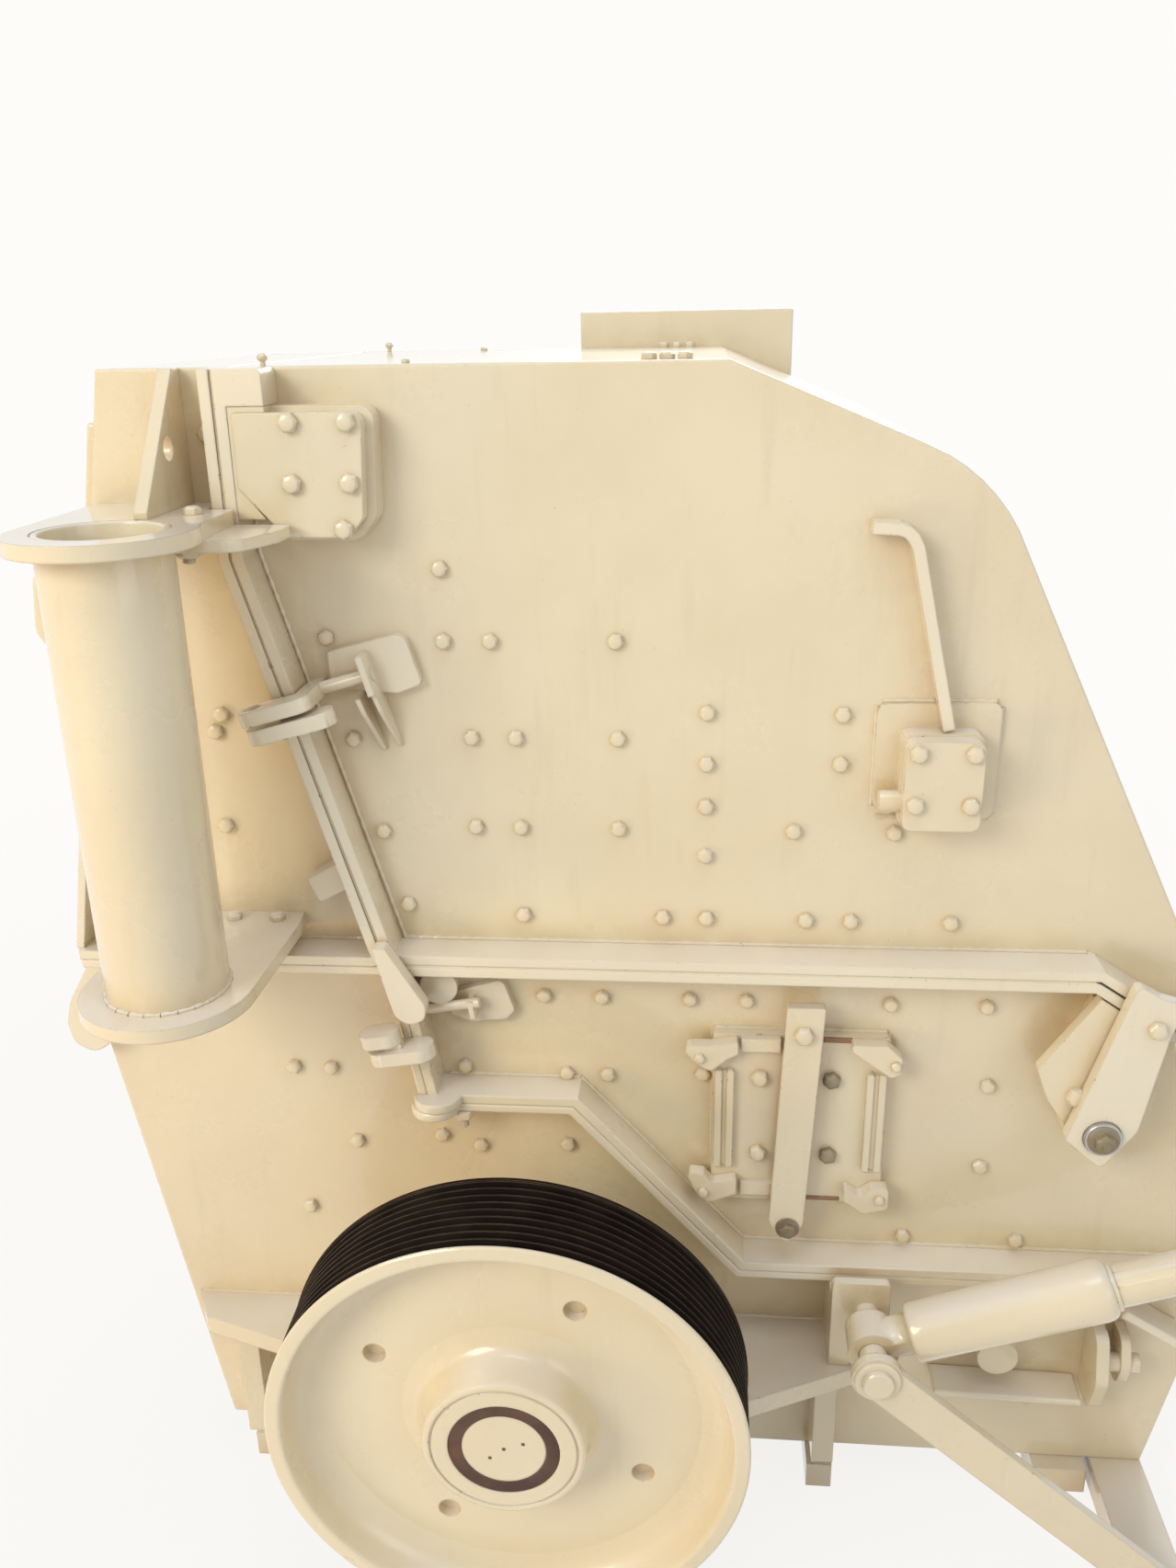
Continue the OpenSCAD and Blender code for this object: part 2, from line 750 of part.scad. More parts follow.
module swing_clamps() {
    hook_dir = unit(rear_seam[1] - rear_seam[2]);
    color(cream)
        both_sides() {
            at_seam(split_z + 654) {
                // upper jaw and the block that carries it
                difference() {
                    round_bar(-97, 78, -arm_y - 72, -arm_y, 4, 38);
                    translate([-60, -arm_y - 36, 22])
                        cylinder(h = 20, r = 22);
                }
                translate([34, -arm_y - 36, 4])
                    cube([44, arm_y + 36 - hw, 34]);
                // clamping screw in its slotted block
                translate([76, -hw - 52, 24])
                    rotate([0, 90, 0])
                        cylinder(h = 128, r = 15);
                difference() {
                    translate([186, -hw - 84, -20])
                        cube([16, 84, 96]);
                    translate([180, -hw - 52, 24])
                        rotate([0, 90, 0])
                            cylinder(h = 30, r = 15);
                }
                // leaf gussets under the block
                for (u = [150, 190])
                    translate([u, 0, 0])
                        rotate([90, 0, 90])
                            linear_extrude(12)
                                polygon([
                                    [-hw, -20], [-hw - 74, -20], [-hw - 62, -64], [-hw - 8, -168], [-hw, -168]
                                ]);
            }
            // hook from the foot of the leaning joint down to the clamp below it
            upright(-arm_y, -edge_y)
                strip([rear_seam[2] + 64 * hook_dir, rear_seam[2] + 14 * hook_dir], -flange_t);
            upright(-arm_y - 40, -arm_y)
                polygon(soft([
                    rear_seam[2] + 70 * hook_dir + [-4, 0], rear_seam[2] + 70 * hook_dir + [flange_t + 3, 0],
                    [seam_foot_x + 104, split_z - 82], [seam_foot_x + 100, split_z - 116],
                    [seam_foot_x + 62, split_z - 138], [seam_foot_x + 26, split_z - 112],
                    [seam_foot_x + 12, split_z - 60]
                ], [4, 10, 34, 24, 34, 30, 60]));
            upright(-hw - 26, -hw)
                polygon(soft([
                    [seam_x + 180, split_z + 690], [seam_x + 335, split_z + 678], [seam_x + 395, split_z + 700],
                    [seam_x + 357, split_z + 822], [seam_x + 176, split_z + 776]
                ], [8, 20, 14, 26, 8]));
        }
}

// ---------- rear housing ----------

module rear_wall_outline() {
    polygon(concat(rear_outline, back_to_front(rear_split), [rear_seam[1]]));
}

module rear_side_walls() {
    color(cream)
        both_sides()
            upright(-hw, -inner)
                rear_wall_outline();
}

module rear_shell() {
    color(cream)
        upright(-inner, inner)
            intersection() {
                strip(rear_outline, plate_t);
                rear_wall_outline();
            }
}

module rear_flanges() {
    color(cream)
        both_sides() {
            upright(-edge_y, -hw) {
                strip([rear_seam[0], rear_seam[1], rear_seam[2] + 8 * unit(rear_seam[1] - rear_seam[2])], -flange_t);
                strip(rear_split, -flange_t);
            }
            // thick block at the head of the leaning joint
            upright(-edge_y, -hw)
                polygon(soft([
                    [seam_x + seam_gap / 2 + flange_t, roof_z - 77], [seam_x + 110, roof_z - 77],
                    [seam_x + 110, roof_z], [seam_x + seam_gap / 2 + flange_t, roof_z]
                ], [0, 0, 14, 0]));
        }
}

module front_apron_boxes() {
    x0 = seam_x + seam_gap / 2 + flange_t + 1;
    z1 = roof_z - 78;
    color(cream)
        both_sides() {
            // box over the pivot of the front apron, and its bolted cover
            upright(-hw - 60, -hw)
                polygon(soft([
                    [x0, z1], [seam_x + 336, z1], [seam_x + 328, z1 - 236], [seam_x + 284, z1 - 290],
                    [seam_x + 126, z1 - 288], [x0, z1 - 176]
                ], [0, 34, 34, 34, 30, 0]));
            upright(-hw - 100, -hw - 60)
                polygon(soft([
                    [x0 + 8, z1 - 12], [seam_x + 318, z1 - 12], [seam_x + 306, z1 - 236], [seam_x + 270, z1 - 276],
                    [seam_x + 134, z1 - 276], [x0 + 8, z1 - 170]
                ], [6, 28, 26, 26, 40, 6]));
        }
}

module rear_apron_boxes() {
    x0 = rear_x - 762;
    z0 = split_z + 376;
    color(cream)
        both_sides() {
            upright(-hw - 14, -hw)
                polygon(soft([
                    [x0, z0 + 26], [x0 + 279, z0], [x0 + 279, z0 + 285], [x0, z0 + 280]
                ], 24));
            upright(-hw - 66, -hw - 14)
                polygon(soft([
                    [x0 + 50, z0 + 4], [x0 + 236, z0 + 4], [x0 + 236, z0 + 226], [x0 + 50, z0 + 226]
                ], 26));
            upright(-hw - 110, -hw - 66)
                polygon(soft([
                    [x0 + 56, z0 + 8], [x0 + 230, z0 + 8], [x0 + 230, z0 + 220], [x0 + 56, z0 + 220]
                ], 22));
            translate([x0 + 8, -hw - 56, z0 + 62])
                rotate([0, 90, 0])
                    cylinder(h = 50, r = 25);
        }
}

module bent_ribs() {
    pad_top = split_z + 376 + 298;
    foot = [rear_x - 595, split_z + 376 + 236];
    bend = [rear_x - 690, roof_z - 385];
    run = unit(bend - foot);
    over = foot + run * (pad_top - foot[1]) / run[1];
    color(cream)
        both_sides() {
            upright(-hw - 62, -hw)
                strip([
                    [rear_x - 800, roof_z - 332], [rear_x - 742, roof_z - 335], [rear_x - 720, roof_z - 343],
                    [rear_x - 704, roof_z - 358], bend, over
                ], 26);
            upright(-hw - 62, -hw - 15)
                strip([over + 16 * run, foot], 26);
        }
}

module hinge_arms() {
    color(cream)
        both_sides()
            difference() {
                union() {
                    upright(-arm_y - arm_t, -arm_y)
                        polygon(soft([
                            [hinge_x - 86, hinge_z - 11], [hinge_x + 6, hinge_z - 91], [hinge_x + 81, hinge_z + 19],
                            [hinge_x + 123, split_z - 112], [hinge_x + 144, split_z - 40], [hinge_x + 35, split_z + 22]
                        ], [12, 16, 40, 20, 14, 14]));
                    // lever for the cylinder, out past the end of the joint
                    upright(-arm_y - arm_t, -arm_y)
                        polygon(soft([
                            [hinge_x + 70, split_z - 4], [rear_x + 68, split_z - 60], [lug_x + 76, lug_z + 10],
                            [lug_x + 10, lug_z - 76], [lug_x - 50, lug_z - 40], [rear_x + 8, split_z - 170],
                            [rear_x - 4, split_z - 92], [hinge_x + 118, split_z - 62]
                        ], [0, 40, 50, 40, 60, 60, 24, 0]));
                    // pads that join the arm to the edge of the flange of the rear housing
                    upright(-arm_y, -edge_y)
                        polygon([
                            [hinge_x + 44, split_z - 32], [rear_x - 50, split_z - 87],
                            [rear_x - 44, split_z - 48], [hinge_x + 42, split_z + 6]
                        ]);
                    bar_y(lug_x, lug_z, 62, -arm_y - arm_t - 22, -arm_y);
                    bar_y(lug_x, lug_z, lug_pin_r, cylinder_y - 60, -arm_y - arm_t);
                }
                bar_y(hinge_x, hinge_z, hinge_r + pin_gap, -arm_y - arm_t - 1, -arm_y + 1);
            }
}

module top_plate() {
    color(cream)
        upright(hw, hw + 25)
            polygon([
                [roof_end[0] - 425, roof_z - 260], [roof_end[0] - 425, roof_z + 103],
                [roof_end[0] + 210, roof_z + 103], [roof_end[0] + 210, roof_z - 260]
            ]);
}

module front_apron() {
    pivot = [seam_x + 185, split_z + 1180];
    color(iron) {
        bar_y(pivot[0], pivot[1], 55, -inner, inner);
        upright(-inner + 25, inner - 25)
            strip([pivot + [0, 0], [pivot[0] + 250, split_z + 640], [330, split_z - 190], [430, split_z - 500]], -90);
    }
}

module rear_apron() {
    pivot = [rear_x - 620, split_z + 490];
    color(iron) {
        bar_y(pivot[0], pivot[1], 55, -inner, inner);
        upright(-inner + 25, inner - 25)
            strip([pivot, [pivot[0] - 120, split_z - 60], [600, axis_z + 330]], -90);
    }
}

// ---------- hinge and opening gear ----------

module hinge_lugs() {
    color(cream)
        both_sides()
            difference() {
                union() {
                    bar_y(hinge_x, hinge_z, 80, -edge_y - 2, -hw);
                    upright(-edge_y - 2, -edge_y + 30)
                        polygon(soft([
                            [hinge_x - 62, hinge_z - 20], [hinge_x - 129, hinge_z + 79], [hinge_x - 158, hinge_z + 158],
                            [hinge_x - 30, split_z - flange_t - 14], [hinge_x + 62, split_z - flange_t - 76],
                            [hinge_x + 74, hinge_z]
                        ], [30, 30, 16, 0, 0, 30]));
                    // the folded back of the lug
                    upright(-edge_y + 30, -hw)
                        strip([[hinge_x - 100, hinge_z + 72], [hinge_x - 26, split_z - flange_t - 46]], 24);
                }
                bar_y(hinge_x, hinge_z, hinge_r, -edge_y - 3, -hw + 1);
            }
}

module hinge_pins() {
    color(steel)
        both_sides()
            bar_y(hinge_x, hinge_z, hinge_r, -arm_y - arm_t - 12, -hw);
}

module cylinder_brackets() {
    x0 = anchor_x - 90;
    shelf = ledge_z - flange_t - 30;
    color(cream)
        both_sides() {
            // bracket of the cylinder, with its pin
            upright(-hw - 165, -hw - 140)
                polygon(soft([
                    [x0, anchor_z + 94], [anchor_x + 58, anchor_z + 94], [anchor_x + 58, anchor_z - 52],
                    [anchor_x + 10, anchor_z - 84], [anchor_x - 40, axis_z - 125], [x0, axis_z - 125]
                ], [14, 14, 30, 30, 0, 0]));
            translate([x0, -hw - 140, shelf])
                cube([148, 140, 30]);
            translate([x0, -hw - 140, axis_z - 125])
                cube([30, 140, shelf - axis_z + 125]);
            bar_y(anchor_x, anchor_z, cylinder_pin_r, cylinder_y - 135, -hw - 140);
            // clevis and boss on the base wall, behind the strut
            for (q = [[rear_x - 102, 34, 128, 345, 592], [rear_x - 30, 26, 96, 415, 572]])
                translate([q[0], 0, 0])
                    rotate([90, 0, 90])
                        linear_extrude(q[1])
                            polygon(soft([
                                [-hw, q[3] + 14], [-hw - q[2] * 0.7, q[3]], [-hw - q[2], (q[3] + q[4]) / 2],
                                [-hw - q[2] * 0.7, q[4]], [-hw, q[4]]
                            ], [0, 34, 60, 34, 0]));
            translate([rear_x - 102, -hw - 62, 490])
                rotate([0, 90, 0])
                    cylinder(h = 126, r = 25);
            bar_y(anchor_x + 370, 492, 54, -hw - 74, -hw);
        }
}

module strut_bars() {
    foot = [base_rear_foot[0] - 45, base_z - 40];
    from = [anchor_x, anchor_z];
    dir = unit(foot - from);
    side = [-dir[1], dir[0]];
    color(cream)
        both_sides()
            difference() {
                union() {
                    upright(cylinder_y - 125, cylinder_y - 100)
                        polygon([from + 54 * side, foot + 54 * side, foot - 54 * side, from - 54 * side]);
                    bar_y(anchor_x, anchor_z, 62, cylinder_y - 125, cylinder_y - 100);
                }
                bar_y(anchor_x, anchor_z, cylinder_pin_r, cylinder_y - 126, cylinder_y - 99);
                translate([anchor_x, cylinder_y - 130, -200])
                    cube([1000, 60, 200 + base_z]);
            }
}

module cylinder_frame() {
    translate([anchor_x, cylinder_y, anchor_z])
        rotate([0, -cylinder_tilt, 0])
            children();
}

module cylinder_barrel() {
    color(cream)
        cylinder_frame()
            difference() {
                union() {
                    rotate([90, 0, 0])
                        translate([0, 0, -45])
                            cylinder(h = 90, r = 62);
                    rotate([0, 90, 0])
                        rotate_extrude()
                            polygon([
                                [0, 20], [barrel_r - 22, 20], [barrel_r - 22, 98], [barrel_r - 6, 101],
                                [barrel_r - 2, 104], [barrel_r, 110], [barrel_r + 3, barrel_end - 30],
                                [barrel_r + 1, barrel_end - 16], [barrel_r - 4, barrel_end - 6],
                                [barrel_r - 10, barrel_end],
                                [rod_r + 7, barrel_end], [rod_r + 7, barrel_end + 8],
                                [rod_r + 4, barrel_end + 12], [0, barrel_end + 12]
                            ]);
                }
                rotate([90, 0, 0])
                    translate([0, 0, -70])
                        cylinder(h = 140, r = cylinder_pin_r + pin_gap);
                translate([150, 0, 0])
                    rotate([0, 90, 0])
                        cylinder(h = barrel_end, r = rod_r + pin_gap);
            }
}

module cylinder_rod() {
    color(steel)
            cylinder_frame()
                difference() {
                    union() {
                        translate([490, 0, 0])
                            rotate([0, 90, 0])
                                cylinder(h = cylinder_len - 490 - 70, r = rod_r);
                        translate([cylinder_len, 0, 0])
                            rotate([90, 0, 0])
                                translate([0, 0, -35])
                                    cylinder(h = 70, r = 82);
                    }
                    translate([cylinder_len, 0, 0])
                        rotate([90, 0, 0])
                            translate([0, 0, -rod_r - 10])
                                cylinder(h = 2 * rod_r + 20, r = lug_pin_r + open_gap);
                }
}

module cylinder_barrel_near() {
    cylinder_barrel();
}

module cylinder_barrel_far() {
    mirror([0, 1, 0])
        cylinder_barrel();
}

module cylinder_rod_near() {
    cylinder_rod();
}

module cylinder_rod_far() {
    mirror([0, 1, 0])
        cylinder_rod();
}

// ---------- output ----------

base_side_walls();
base_end_walls();
base_feet();
base_flanges();
feed_side_walls();
feed_front_wall();
feed_roof();
feed_frame();
feed_flanges();
middle_side_walls();
middle_rear_wall();
middle_flanges();
inspection_doors();
door_fixings();
bearing_shelves();
bearing_housings();
jib_tube();
jib_plates();
lifting_gusset();
fixed_clamps();
hinge_lugs();
hinge_pins();
cylinder_brackets();
strut_bars();
rear_side_walls();
rear_shell();
rear_flanges();
front_apron_boxes();
rear_apron_boxes();
bent_ribs();
hinge_arms();
swing_clamps();
top_plate();
front_apron();
rear_apron();
pulley();
groove_band();
rotor_shaft();
lock_ring();
rotor_body();
blow_bars();
cylinder_barrel_near();
cylinder_rod_near();
cylinder_barrel_far();
cylinder_rod_far();
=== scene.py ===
"""Looks of the compound impact crusher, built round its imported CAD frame.

Every length is in metres in the row frame: X runs along the machine from the
feed end, Y across it (the pulley is on the -Y side) and Z up from the floor.
"""

import json
import math
import random

import bmesh
import bpy
from mathutils import Matrix, Vector


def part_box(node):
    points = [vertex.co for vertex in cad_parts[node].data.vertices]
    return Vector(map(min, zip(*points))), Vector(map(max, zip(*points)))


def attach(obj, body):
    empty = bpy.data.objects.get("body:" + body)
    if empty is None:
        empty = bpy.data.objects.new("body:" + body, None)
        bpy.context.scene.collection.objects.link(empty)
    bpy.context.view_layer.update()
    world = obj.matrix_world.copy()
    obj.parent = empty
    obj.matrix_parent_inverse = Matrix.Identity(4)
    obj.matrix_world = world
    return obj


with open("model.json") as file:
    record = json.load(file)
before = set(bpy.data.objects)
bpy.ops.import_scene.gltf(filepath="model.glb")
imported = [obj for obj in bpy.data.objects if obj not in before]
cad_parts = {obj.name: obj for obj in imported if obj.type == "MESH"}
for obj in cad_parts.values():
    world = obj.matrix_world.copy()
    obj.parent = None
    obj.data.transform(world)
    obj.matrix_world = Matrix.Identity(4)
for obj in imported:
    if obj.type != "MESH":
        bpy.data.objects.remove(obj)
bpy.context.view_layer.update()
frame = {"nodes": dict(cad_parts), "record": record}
nodes = frame["nodes"]
joints = {j["name"]: j for j in frame["record"]["behaviour"]["joints"]}
rng = random.Random(7)

SIDES = (-1, 1)  # the near and the far side of the machine
WALL_Y = -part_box("rear_side_walls")[0][1]  # outside of the side walls
FLANGE_Y = -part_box("rear_flanges")[0][1]  # edge of the joint flanges
FLANGE_T = 0.025  # thickness of a joint flange
ROOF_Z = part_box("feed_side_walls")[1][2]
SPLIT_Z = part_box("feed_side_walls")[0][2]  # level joint between the housings
STEP_Z = SPLIT_Z - 0.388  # level part of the middle housing's lower flange
LEAN_TOP = (-0.600, 2.650)  # (x, z) where the leaning joint turns upright
HINGE = Vector(next(j for j in joints.values() if j["type"] == "hinge")["pos_m"])


# ---------------------------------------------------------------- materials


class Shader:
    """A node material with short calls for the nodes that these finishes use."""

    def __init__(self, name):
        self.mat = bpy.data.materials.new(name)
        self.mat.use_nodes = True
        self.tree = self.mat.node_tree
        self.bsdf = self.tree.nodes["Principled BSDF"]
        self.coord = self.tree.nodes.new("ShaderNodeTexCoord")
        self.geo = self.tree.nodes.new("ShaderNodeNewGeometry")

    def node(self, kind, **values):
        n = self.tree.nodes.new(kind)
        for key, value in values.items():
            setattr(n, key, value)
        return n

    def link(self, a, b):
        self.tree.links.new(a, b)

    def set(self, socket, value):
        if hasattr(value, "is_output"):
            self.link(value, socket)
        else:
            socket.default_value = value

    # Each call below adds one small group of nodes and returns its output socket.

    def noise(self, scale, detail=4.0, rough=0.55, stretch=None):
        n = self.node("ShaderNodeTexNoise")
        n.inputs["Scale"].default_value = scale
        n.inputs["Detail"].default_value = detail
        n.inputs["Roughness"].default_value = rough
        source = self.coord.outputs["Object"]
        if stretch:
            m = self.node("ShaderNodeMapping")
            m.inputs["Scale"].default_value = stretch
            self.link(source, m.inputs["Vector"])
            source = m.outputs["Vector"]
        self.link(source, n.inputs["Vector"])
        return n.outputs["Fac"]

    def ramp(self, fac, low, high, a=0.0, b=1.0):
        n = self.node("ShaderNodeMapRange")
        n.interpolation_type = "SMOOTHSTEP"
        self.link(fac, n.inputs["Value"])
        for key, value in (("From Min", low), ("From Max", high), ("To Min", a), ("To Max", b)):
            n.inputs[key].default_value = value
        return n.outputs["Result"]

    def math(self, op, a, b=0.0):
        n = self.node("ShaderNodeMath", operation=op, use_clamp=op in ("MULTIPLY", "ADD"))
        self.set(n.inputs[0], a)
        self.set(n.inputs[1], b)
        return n.outputs[0]

    def mix(self, fac, a, b):
        n = self.node("ShaderNodeMix", data_type="RGBA")
        self.set(n.inputs[0], fac)
        for socket, value in ((n.inputs[6], a), (n.inputs[7], b)):
            if not hasattr(value, "is_output"):
                value = (*value, 1.0)
            self.set(socket, value)
        return n.outputs[2]

    def facing_up(self, low, high):
        """1 on level faces that look up."""
        n = self.node("ShaderNodeSeparateXYZ")
        self.link(self.geo.outputs["Normal"], n.inputs[0])
        return self.ramp(n.outputs["Z"], low, high)

    def crevice(self, distance, low=0.35, high=0.95):
        """1 in inner corners and narrow gaps."""
        n = self.node("ShaderNodeAmbientOcclusion", samples=6)
        n.inputs["Distance"].default_value = distance
        return self.ramp(n.outputs["AO"], low, high, 1.0, 0.0)

    def edge(self, radius, low=0.02, high=0.12):
        """1 on outer edges and corners, 0 on flat surface; also keeps the rounded normal."""
        bevel = self.node("ShaderNodeBevel", samples=4)
        bevel.inputs["Radius"].default_value = radius
        self.rounded = bevel.outputs[0]
        dot = self.node("ShaderNodeVectorMath", operation="DOT_PRODUCT")
        self.link(bevel.outputs[0], dot.inputs[0])
        self.link(self.geo.outputs["Normal"], dot.inputs[1])
        return self.ramp(self.math("SUBTRACT", 1.0, dot.outputs["Value"]), low, high)

    def bump(self, height, distance, strength=1.0, normal=None):
        n = self.node("ShaderNodeBump")
        n.inputs["Distance"].default_value = distance
        n.inputs["Strength"].default_value = strength
        self.link(height, n.inputs["Height"])
        if normal is not None:
            self.link(normal, n.inputs["Normal"])
        return n.outputs["Normal"]

    def finish(self, color, rough, normal=None, metal=0.0, coat=0.0, coat_rough=0.1):
        self.set(self.bsdf.inputs["Base Color"], color)
        self.set(self.bsdf.inputs["Roughness"], rough)
        self.set(self.bsdf.inputs["Metallic"], metal)
        self.bsdf.inputs["Coat Weight"].default_value = coat
        self.bsdf.inputs["Coat Roughness"].default_value = coat_rough
        if normal is not None:
            self.link(normal, self.bsdf.inputs["Normal"])
        return self.mat


def paint(name, light, deep):
    """Gloss machine enamel: brush mottle, dust with a painted sheen on faces that look up, grime
    with painted shade in corners, worn edges with a painted highlight.
    """
    s = Shader(name)
    mottle = s.ramp(s.noise(1.7, 5), 0.35, 0.68)
    color = s.mix(mottle, light, deep)
    streak = s.ramp(s.noise(5.0, 5, 0.6, (3.0, 3.0, 0.35)), 0.56, 0.80, 0.0, 0.22)
    color = s.mix(streak, color, (0.60, 0.47, 0.30))
    specks = s.ramp(s.noise(95.0, 2), 0.72, 0.78, 0.0, 0.35)
    color = s.mix(specks, color, (0.42, 0.32, 0.21))
    # Grime and painted shade: the ambient occlusion darkens corners and narrow gaps towards tan
    # brown.
    corner = s.crevice(0.16)
    grime_and_shade = s.math("MULTIPLY", corner, s.ramp(s.noise(9.0, 4), 0.2, 0.75, 0.18, 0.65))
    color = s.mix(grime_and_shade, color, (0.56, 0.40, 0.20))
    # Dust and a painted sky sheen: faces that look up are lightened towards pale grey.
    patchy = s.ramp(s.noise(3.1, 5), 0.25, 0.7, 0.4, 1.0)
    dust_and_sheen = s.math("MULTIPLY", s.facing_up(0.55, 0.98), patchy)
    color = s.mix(s.math("MULTIPLY", dust_and_sheen, 0.65), color, (0.85, 0.83, 0.80))
    edge = s.edge(0.007)
    chips = s.math("MULTIPLY", edge, s.ramp(s.noise(38.0, 4, 0.7), 0.62, 0.68))
    # Worn paint and a painted highlight: the rounded edges are lightened towards near white.
    rubbed_and_highlight = s.math("MULTIPLY", edge, s.ramp(s.noise(6.0, 3), 0.4, 0.7, 0.0, 0.35))
    color = s.mix(rubbed_and_highlight, color, (0.93, 0.90, 0.80))
    color = s.mix(chips, color, (0.24, 0.17, 0.12))
    rough = s.ramp(s.noise(2.6, 5), 0.3, 0.7, 0.24, 0.37)
    rough = s.math("ADD", rough, s.math("MULTIPLY", dust_and_sheen, 0.10))
    peel = s.noise(160.0, 2)
    rolled = s.noise(11.0, 3)
    normal = s.bump(peel, 0.0006, 0.35, s.rounded)
    normal = s.bump(rolled, 0.006, 0.25, normal)
    return s.finish(color, rough, normal, coat=0.85, coat_rough=0.09)


def iron(name, light, deep, rust, rough_low=0.5, rough_high=0.8, metal=0.35):
    """Cast or rolled iron with scale, rust blooms and bright rubbed edges."""
    s = Shader(name)
    color = s.mix(s.ramp(s.noise(6.0, 6), 0.35, 0.65), light, deep)
    bloom = s.ramp(s.noise(3.3, 7, 0.65), 0.5, 0.72, 0.0, rust)
    color = s.mix(bloom, color, (0.23, 0.105, 0.05))
    edge = s.math("MULTIPLY", s.edge(0.004), s.ramp(s.noise(20.0, 3), 0.4, 0.6, 0.1, 0.6))
    color = s.mix(edge, color, (0.42, 0.38, 0.34))
    rough = s.ramp(s.noise(12.0, 4), 0.3, 0.7, rough_low, rough_high)
    normal = s.bump(s.noise(60.0, 5, 0.7), 0.0025, 0.5, s.rounded)
    return s.finish(color, rough, normal, metal=metal)


def machined(name, tint, rough_low, rough_high):
    """Turned or drawn steel, with tool lines and a thin film of oil."""
    s = Shader(name)
    color = s.mix(s.ramp(s.noise(9.0, 5), 0.3, 0.7), tint, tuple(c * 0.78 for c in tint))
    stain = s.ramp(s.noise(4.0, 6), 0.58, 0.75, 0.0, 0.4)
    color = s.mix(stain, color, (0.22, 0.16, 0.11))
    turned = s.noise(14.0, 2, 0.5, (1.0, 60.0, 1.0))
    rough = s.ramp(turned, 0.3, 0.7, rough_low, rough_high)
    normal = s.bump(turned, 0.0006, 0.4)
    return s.finish(color, rough, normal, metal=0.9)


def belt_groove():
    """Blackened cast iron: painted shade makes the grooves black, and belt rub with a painted
    highlight makes the ridges brown.
    """
    s = Shader("dark_iron")
    mottle = s.ramp(s.noise(8.0, 5), 0.35, 0.65)
    color = s.mix(mottle, (0.009, 0.006, 0.005), (0.018, 0.012, 0.008))
    # Painted shade: the ambient occlusion turns the groove bottoms near black.
    color = s.mix(s.crevice(0.012, 0.30, 0.80), color, (0.003, 0.002, 0.002))
    # Belt rub and a painted highlight: the edges of the ridges are lightened to brown.
    uneven = s.ramp(s.noise(11.0, 4), 0.25, 0.7, 0.4, 1.0)
    ridge = s.math("MULTIPLY", s.edge(0.003, 0.01, 0.06), uneven)
    color = s.mix(ridge, color, (0.17, 0.12, 0.08))
    normal = s.bump(s.noise(90.0, 4, 0.7), 0.001, 0.4)
    s.bsdf.inputs["Specular IOR Level"].default_value = 0.06
    return s.finish(color, s.ramp(s.noise(12.0, 4), 0.3, 0.7, 0.42, 0.62), normal)


CREAM = paint("cream_paint", (0.81, 0.72, 0.50), (0.77, 0.67, 0.45))
# A lighter copy of the cream: a painted sheen for the flanges and clamps.
SHEEN_CREAM = paint("cream_with_sheen", (0.84, 0.77, 0.58), (0.81, 0.735, 0.54))
GROOVE = belt_groove()
RUST = iron(
    "rust_brown", (0.105, 0.046, 0.024), (0.060, 0.026, 0.014),
    rust=0.45, rough_low=0.4, rough_high=0.6, metal=0.0,
)
WEAR = iron("wear_iron", (0.16, 0.14, 0.13), (0.09, 0.08, 0.075), rust=0.6)
STEEL = machined("bright_steel", (0.56, 0.54, 0.52), 0.25, 0.45)
OILED = iron(
    "oiled_iron", (0.36, 0.31, 0.20), (0.22, 0.18, 0.105),
    rust=0.25, rough_low=0.35, rough_high=0.6, metal=0.2,
)
FLAKED = iron(
    "flaked_paint", (0.40, 0.22, 0.13), (0.28, 0.13, 0.075),
    rust=0.5, rough_low=0.6, rough_high=0.85, metal=0.0,
)
BY_SLOT = {
    "cream_paint": CREAM,
    "dark_iron": GROOVE,
    "rust_brown": RUST,
    "wear_iron": WEAR,
    "bright_steel": STEEL,
}


# ---------------------------------------------------------------- the CAD nodes

# Plates and turned parts whose edges are rounded in the mesh, with the radius. The others,
# small forged and flame-cut shapes, get their soft edges from the finish.
ROUNDED = {
    "base_end_walls": 0.006,
    "base_side_walls": 0.005,
    "base_flanges": 0.006,
    "bearing_housings": 0.005,
    "blow_bars": 0.006,
    "feed_front_wall": 0.006,
    "feed_frame": 0.006,
    "feed_roof": 0.006,
    "feed_side_walls": 0.006,
    "groove_band": 0.0008,
    "hinge_pins": 0.004,
    "jib_tube": 0.006,
    "lock_ring": 0.002,
    "middle_flanges": 0.006,
    "middle_rear_wall": 0.006,
    "middle_side_walls": 0.006,
    "pulley": 0.0015,
    "rear_flanges": 0.006,
    "rear_shell": 0.006,
    "rear_side_walls": 0.006,
    "rotor_body": 0.004,
    "top_plate": 0.006,
}
# The flat faces of these are joined first, because long thin triangles stop the rounding.
FLATTENED = (
    "base_flanges", "base_side_walls", "feed_frame", "hinge_pins", "middle_flanges",
    "rear_flanges", "rear_side_walls",
)
# Flat bars, flanges and clamps, in a lighter copy of the paint that is a painted sheen.
SHEEN_NODES = (
    "base_flanges", "bent_ribs", "feed_flanges", "fixed_clamps", "hinge_arms",
    "middle_flanges", "rear_flanges", "swing_clamps",
)
FLAT_ANGLE = math.radians(0.2)  # faces that differ by less are one flat face
SHARP_ANGLE = math.radians(40)  # edges that turn by more are rounded
JOIN_GAP = 0.00002  # between corners that the export has split
CLEAN_GAP = 0.00004  # between corners that the rounding has brought together


